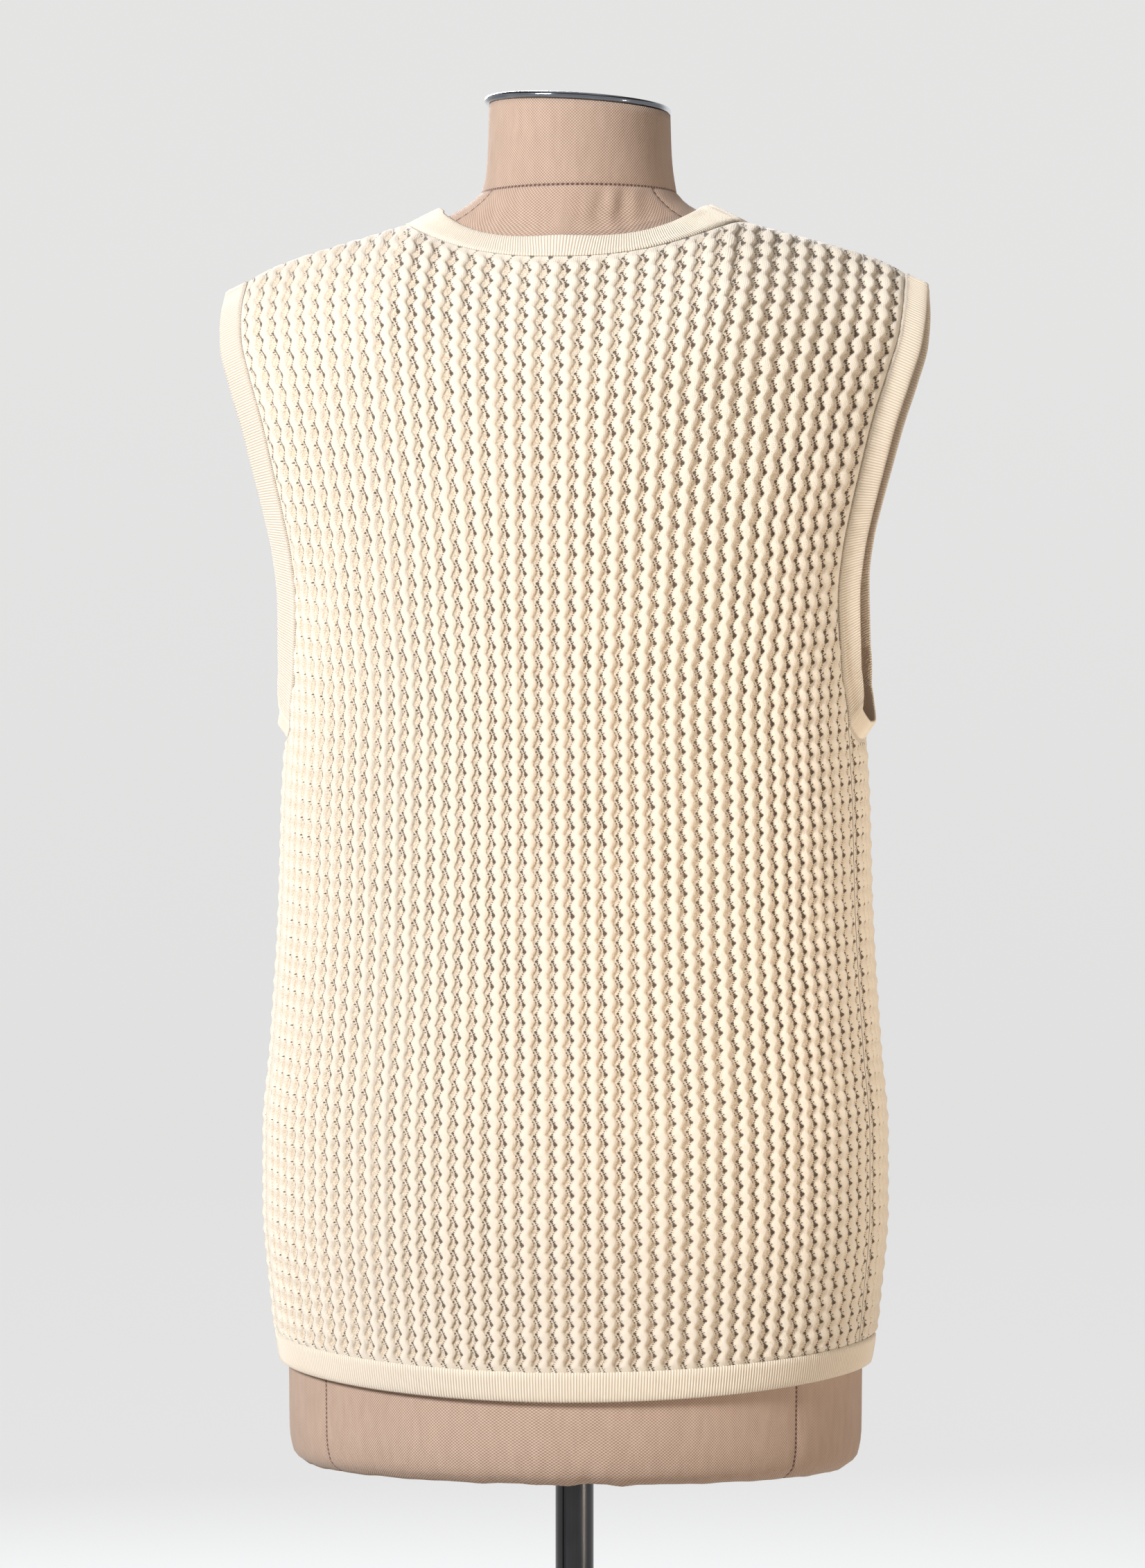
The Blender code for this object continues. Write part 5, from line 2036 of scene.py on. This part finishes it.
    def run_on(self, rim: Array, rings: Array) -> Array:
        """Runs a mark on over the rings that close an end.

        Args:
            rim: the mark's vectors at the rim.
            rings: points of the rings.

        Returns:
            The rings' vectors: their level places, and the rim's last part.
        """
        marks = np.repeat(rim[None], len(rings), axis=0)
        marks[..., :2] = rings[..., :2]
        return marks

    def build_cap(self, material: bpy.types.Material) -> bpy.types.Object:
        """Makes the polished cap with a rolled rim, tilted as the neck's top is.

        Args:
            material: the bright metal.

        Returns:
            The cap's object.
        """
        radius, thick = self.cap_radius, self.cap_thickness
        bend = 0.5 * thick - 0.0003
        arc = np.linspace(-0.5 * math.pi, 0.5 * math.pi, 9)
        rim = [Turn(radius - bend + bend * math.cos(a), thick / 2 + (thick / 2) * math.sin(a)) for a in arc]
        profile = [Turn(0.0, 0.0), Turn(radius * 0.8, 0.0), *rim, Turn(radius * 0.93, thick - 0.0003)]
        profile += [Turn(radius * 0.80, thick - 0.0008), Turn(0.0, thick - 0.0008)]
        points, outward = turned_grid(profile, 144)
        roll = self.shape.neck_roll
        sine, cosine = math.sin(roll), math.cos(roll)
        turn = np.array([[cosine, 0.0, sine], [0.0, 1.0, 0.0], [-sine, 0.0, cosine]])
        place = np.array([-self.cap_shift, -self.cap_forward, self.shape.neck_top + TOUCH_GAP])
        made = add_grid("polished_cap", points @ turn + place, material, outward @ turn, wrap=(False, True))
        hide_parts("neck_cap")
        return made


@dataclass
class Stand:
    """Slotted pole, collar and round base."""

    pole_radius: float = 0.011
    slot_width: float = 0.002
    slot_depth: float = 0.003
    slot_offset: float = 0.0048
    slot_rounding: tuple[float, float] = (0.0002, 0.0004)
    base_radius: float = 0.210
    base_top: float = 0.013
    socket_radius: float = 0.021
    socket_top: float = 0.058

    def build_pole(self, material: bpy.types.Material) -> bpy.types.Object:
        """Makes the pole with an upright slot in its back.

        Args:
            material: the dark metal.

        Returns:
            The pole's object.
        """
        radius = self.pole_radius
        turn = np.linspace(0.0, FULL_TURN, 96, endpoint=False)
        x, y = radius * np.sin(turn), radius * np.cos(turn)
        left, right = self.slot_offset - self.slot_width / 2, self.slot_offset + self.slot_width / 2
        in_slot = (x > left) & (x < right) & (y > 0.0)
        inset, chamfer = self.slot_rounding
        cut_x = [left, left, left + inset, right - inset, right, right]
        floor = math.sqrt(radius**2 - self.slot_offset**2) - self.slot_depth
        rims = [math.sqrt(radius**2 - side**2) for side in (left, right)]
        cut_y = [rims[0], floor + chamfer, floor, floor, floor + chamfer, rims[1]]
        first = int(np.argmax(in_slot))
        after = first + int(in_slot.sum())
        x = np.concatenate([x[:first], cut_x, x[after:]])
        y = np.concatenate([y[:first], cut_y, y[after:]])
        bottom = self.base_top + TOUCH_GAP - FORM_UNDERSIDE
        points = points_of(x, y, np.linspace(bottom, -TOUCH_GAP, 12)[:, None])
        whole = np.concatenate([points[:1] * UPRIGHT, points, points[-1:] * UPRIGHT])
        made = add_grid("slotted_pole", whole, material, whole * LEVEL, wrap=(False, True))
        made.data.set_sharp_from_angle(angle=SHARP_EDGE)
        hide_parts("stand_pole")
        return made

    def build_turned(
        self, name: str, replaced: str, profile: Sequence[Turn], steps: int, material: bpy.types.Material
    ) -> bpy.types.Object:
        """Makes a turned piece whose profile is measured from the floor.

        Args:
            name: the piece's name.
            replaced: the solid that it replaces.
            profile: its outline.
            steps: points round it.
            material: its metal.

        Returns:
            The piece's object.
        """
        points, outward = turned_grid(profile, steps)
        points[..., 2] -= FORM_UNDERSIDE
        made = add_grid(name, points, material, outward, wrap=(False, True))
        made.data.set_sharp_from_angle(angle=SHARP_EDGE)
        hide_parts(replaced)
        return made

    def build(self, material: bpy.types.Material) -> None:
        """Makes the pole, the collar and the base.

        Args:
            material: the dark metal.
        """
        self.build_pole(material)
        bottom, inside = self.base_top + TOUCH_GAP, self.pole_radius + TOUCH_GAP
        outer, top = self.socket_radius, self.socket_top
        collar = (
            Turn(inside, bottom),
            Turn(outer + 0.006, bottom),
            Turn(outer + 0.0045, bottom + 0.0008),
            Turn(outer + 0.001, bottom + 0.0024),
            Turn(outer, bottom + 0.004),
            Turn(outer, top - 0.0025),
            Turn(outer - 0.0005, top - 0.0008),
            Turn(outer - 0.002, top),
            Turn(inside, top),
            Turn(inside, bottom),
        )
        self.build_turned("pole_collar", "stand_collar", collar, 96, material)
        edge = self.base_radius
        base = (
            Turn(0.0, 0.0),
            Turn(edge - 0.0008, 0.0),
            Turn(edge, 0.0008),
            Turn(edge, 0.0040),
            Turn(edge - 0.0006, 0.0053),
            Turn(edge - 0.002, 0.0060),
            Turn(edge - 0.012, 0.0090),
            Turn(edge * 0.6, 0.0112),
            Turn(0.046, self.base_top),
            Turn(0.0, self.base_top),
        )
        self.build_turned("round_base", "stand_base", base, 160, material)


@dataclass
class Studio:
    """Pale seamless floor and walls, soft lights and the camera."""

    distance: float = 3.08
    azimuth: float = math.radians(187.0)
    eye_height: float = 1.011
    lens: float = 122.5
    aim_x: float = 0.0012
    floor_radius: float = 9.5
    wall_radius: float = 12.0
    wall_height: float = 9.0
    from_floor: float = 0.56
    from_above: float = 0.10
    light_turns: tuple[float, float] = (-0.60, 0.10)
    room_colour: Colour = (1.0, 0.88, 0.76)
    fill_colour: Colour = (1.0, 0.86, 0.70)
    fill_width: float = math.radians(17.0)
    fill_softness: float = 0.18
    light_aim: Place = (0.0, 0.0, 1.0)

    def build_floor(self, material: bpy.types.Material) -> None:
        """Makes the floor, which curves up into a wall all round.

        Args:
            material: the studio's finish.
        """
        bend = self.wall_radius - self.floor_radius
        arc = np.linspace(0.0, 0.5 * math.pi, 14)
        profile = [Turn(0.0, 0.0), Turn(self.floor_radius * 0.5, 0.0)]
        profile += [Turn(self.floor_radius + bend * math.sin(a), bend * (1.0 - math.cos(a))) for a in arc]
        profile.append(Turn(self.wall_radius, self.wall_height))
        points, _ = turned_grid(profile, 96)
        corners = cell_corners(*points.shape[:2], (False, True))
        mesh = bpy.data.meshes.new("studio_floor")
        mesh.from_pydata(points.reshape(-1, 3).tolist(), [], corners.reshape(-1, 4).tolist())
        mesh.materials.append(material)
        mesh.shade_smooth()
        made = bpy.data.objects.new("studio_floor", mesh)
        made.visible_diffuse = False
        made.visible_shadow = False
        bpy.context.scene.collection.objects.link(made)

    def stand_up(self, name: str, data: bpy.types.ID, place: Place, aim: Place) -> bpy.types.Object:
        """Places a light or the camera so that it faces a point.

        Args:
            name: the object's name.
            data: the light or the camera.
            place: where it stands.
            aim: what it faces.

        Returns:
            The object.
        """
        made = bpy.data.objects.new(name, data)
        made.location = place
        made.rotation_euler = (Vector(aim) - Vector(place)).to_track_quat("-Z", "Y").to_euler()
        bpy.context.scene.collection.objects.link(made)
        return made

    def add_light(self, name: str, place: Place, size: float, power: float) -> None:
        """Adds a soft square light that faces the cardigan.

        Args:
            name: the light's name.
            place: where it hangs.
            size: length of its sides.
            power: its strength in watts.
        """
        light = bpy.data.lights.new(name, "AREA")
        light.shape = "SQUARE"
        light.size = size
        light.energy = power
        self.stand_up(name, light, place, self.light_aim)

    def add_fill(self, name: str, place: Place, aim: Place, power: float) -> None:
        """Adds a soft round beam that leaves the neck in shade.

        Args:
            name: the light's name.
            place: where it stands.
            aim: what it points at.
            power: its strength in watts.
        """
        light = bpy.data.lights.new(name, "SPOT")
        light.energy = power
        light.color = self.fill_colour
        light.spot_size = self.fill_width
        light.spot_blend = 1.0
        light.shadow_soft_size = self.fill_softness
        self.stand_up(name, light, place, aim)

    def build_world(self) -> None:
        """Makes the soft light of the room, stronger from the pale floor than from above."""
        world = bpy.data.worlds.new("soft room light")
        world.use_nodes = True
        tree = world.node_tree
        background = tree.nodes["Background"]
        place = tree.nodes.new("ShaderNodeTexCoord")
        parts = tree.nodes.new("ShaderNodeSeparateXYZ")
        rise = tree.nodes.new("ShaderNodeMapRange")
        rise.interpolation_type = "SMOOTHSTEP"
        limits = (*self.light_turns, self.from_floor, self.from_above)
        for socket, value in zip(("From Min", "From Max", "To Min", "To Max"), limits):
            rise.inputs[socket].default_value = value
        tree.links.new(place.outputs["Generated"], parts.inputs[0])
        tree.links.new(parts.outputs["Z"], rise.inputs["Value"])
        tree.links.new(rise.outputs[0], background.inputs["Strength"])
        background.inputs["Color"].default_value = (*self.room_colour, 1.0)
        bpy.context.scene.world = world
        bpy.context.scene.view_settings.view_transform = "Standard"

    def build(self, material: bpy.types.Material) -> None:
        """Makes the floor, world, lights and camera.

        Args:
            material: the floor's finish.
        """
        self.build_floor(material)
        self.build_world()
        self.add_light("key_from_left", (2.1, 2.85, 2.6), 1.0, 200.0)
        self.add_fill("fill_from_right", (-3.0, 1.3, 0.5), (0.0, 0.0, 0.97), 330.0)
        self.add_light("key_on_front", (1.1, -3.3, 2.6), 1.4, 140.0)
        self.add_light("soft_from_above", (0.0, 0.0, 4.2), 3.0, 24.0)
        camera = bpy.data.cameras.new("photo_view")
        camera.lens = self.lens
        camera.sensor_width = 36.0
        camera.clip_end = 60.0
        sideways, back = math.sin(self.azimuth), -math.cos(self.azimuth)
        place = (self.distance * sideways, self.distance * back, self.eye_height)
        aim = (self.aim_x, 0.0, self.eye_height)
        bpy.context.scene.camera = self.stand_up("photo_view", camera, place, aim)


def main() -> None:
    """Builds the cardigan, the form, the stand and the studio in order."""
    logging.basicConfig(level=logging.INFO, format="%(message)s")
    knit = OpenworkKnitFinish().build()
    rib = RibKnitFinish().build()
    cut = Cut()
    back = Panel(Side.BACK, 1.0, cut)
    fronts = {1.0: Panel(Side.FRONT, 1.0, cut), -1.0: Panel(Side.FRONT, -1.0, cut)}
    OpenworkPanel("knit_back", back, (0.40, 0.655), 0.245, ("form_torso",)).build(knit)
    for hand, side in ((1.0, "left"), (-1.0, "right")):
        front = OpenworkPanel(f"knit_front_{side}", fronts[hand], (0.27, 0.655), 0.125, ("form_torso",))
        front.build(knit)
        ArmholeBand(hand, back, fronts[hand]).build(rib)
    NeckBand(cut).build(rib)
    HemBand(cut).build(rib)
    fastening = FrontFastening(cut, fronts[1.0])
    under = fastening.wall / 2.0
    over = under + fastening.wall + TOUCH_GAP
    fastening.build_band("left", under, rib)
    fastening.build_band("right", over, rib)
    lift = over + fastening.wall / 2.0 + 2.0 * TOUCH_GAP
    fastening.build_buttons(lift, ShellButtonFinish().build(), SewingThreadFinish().build())
    form = DressForm()
    form.build_cover(FormCoverFinish().build())
    form.build_cap(PolishedFinish().build())
    Stand().build(DarkMetalFinish().build())
    Studio().build(StudioFinish().build())


if __name__ == "__main__":
    main()
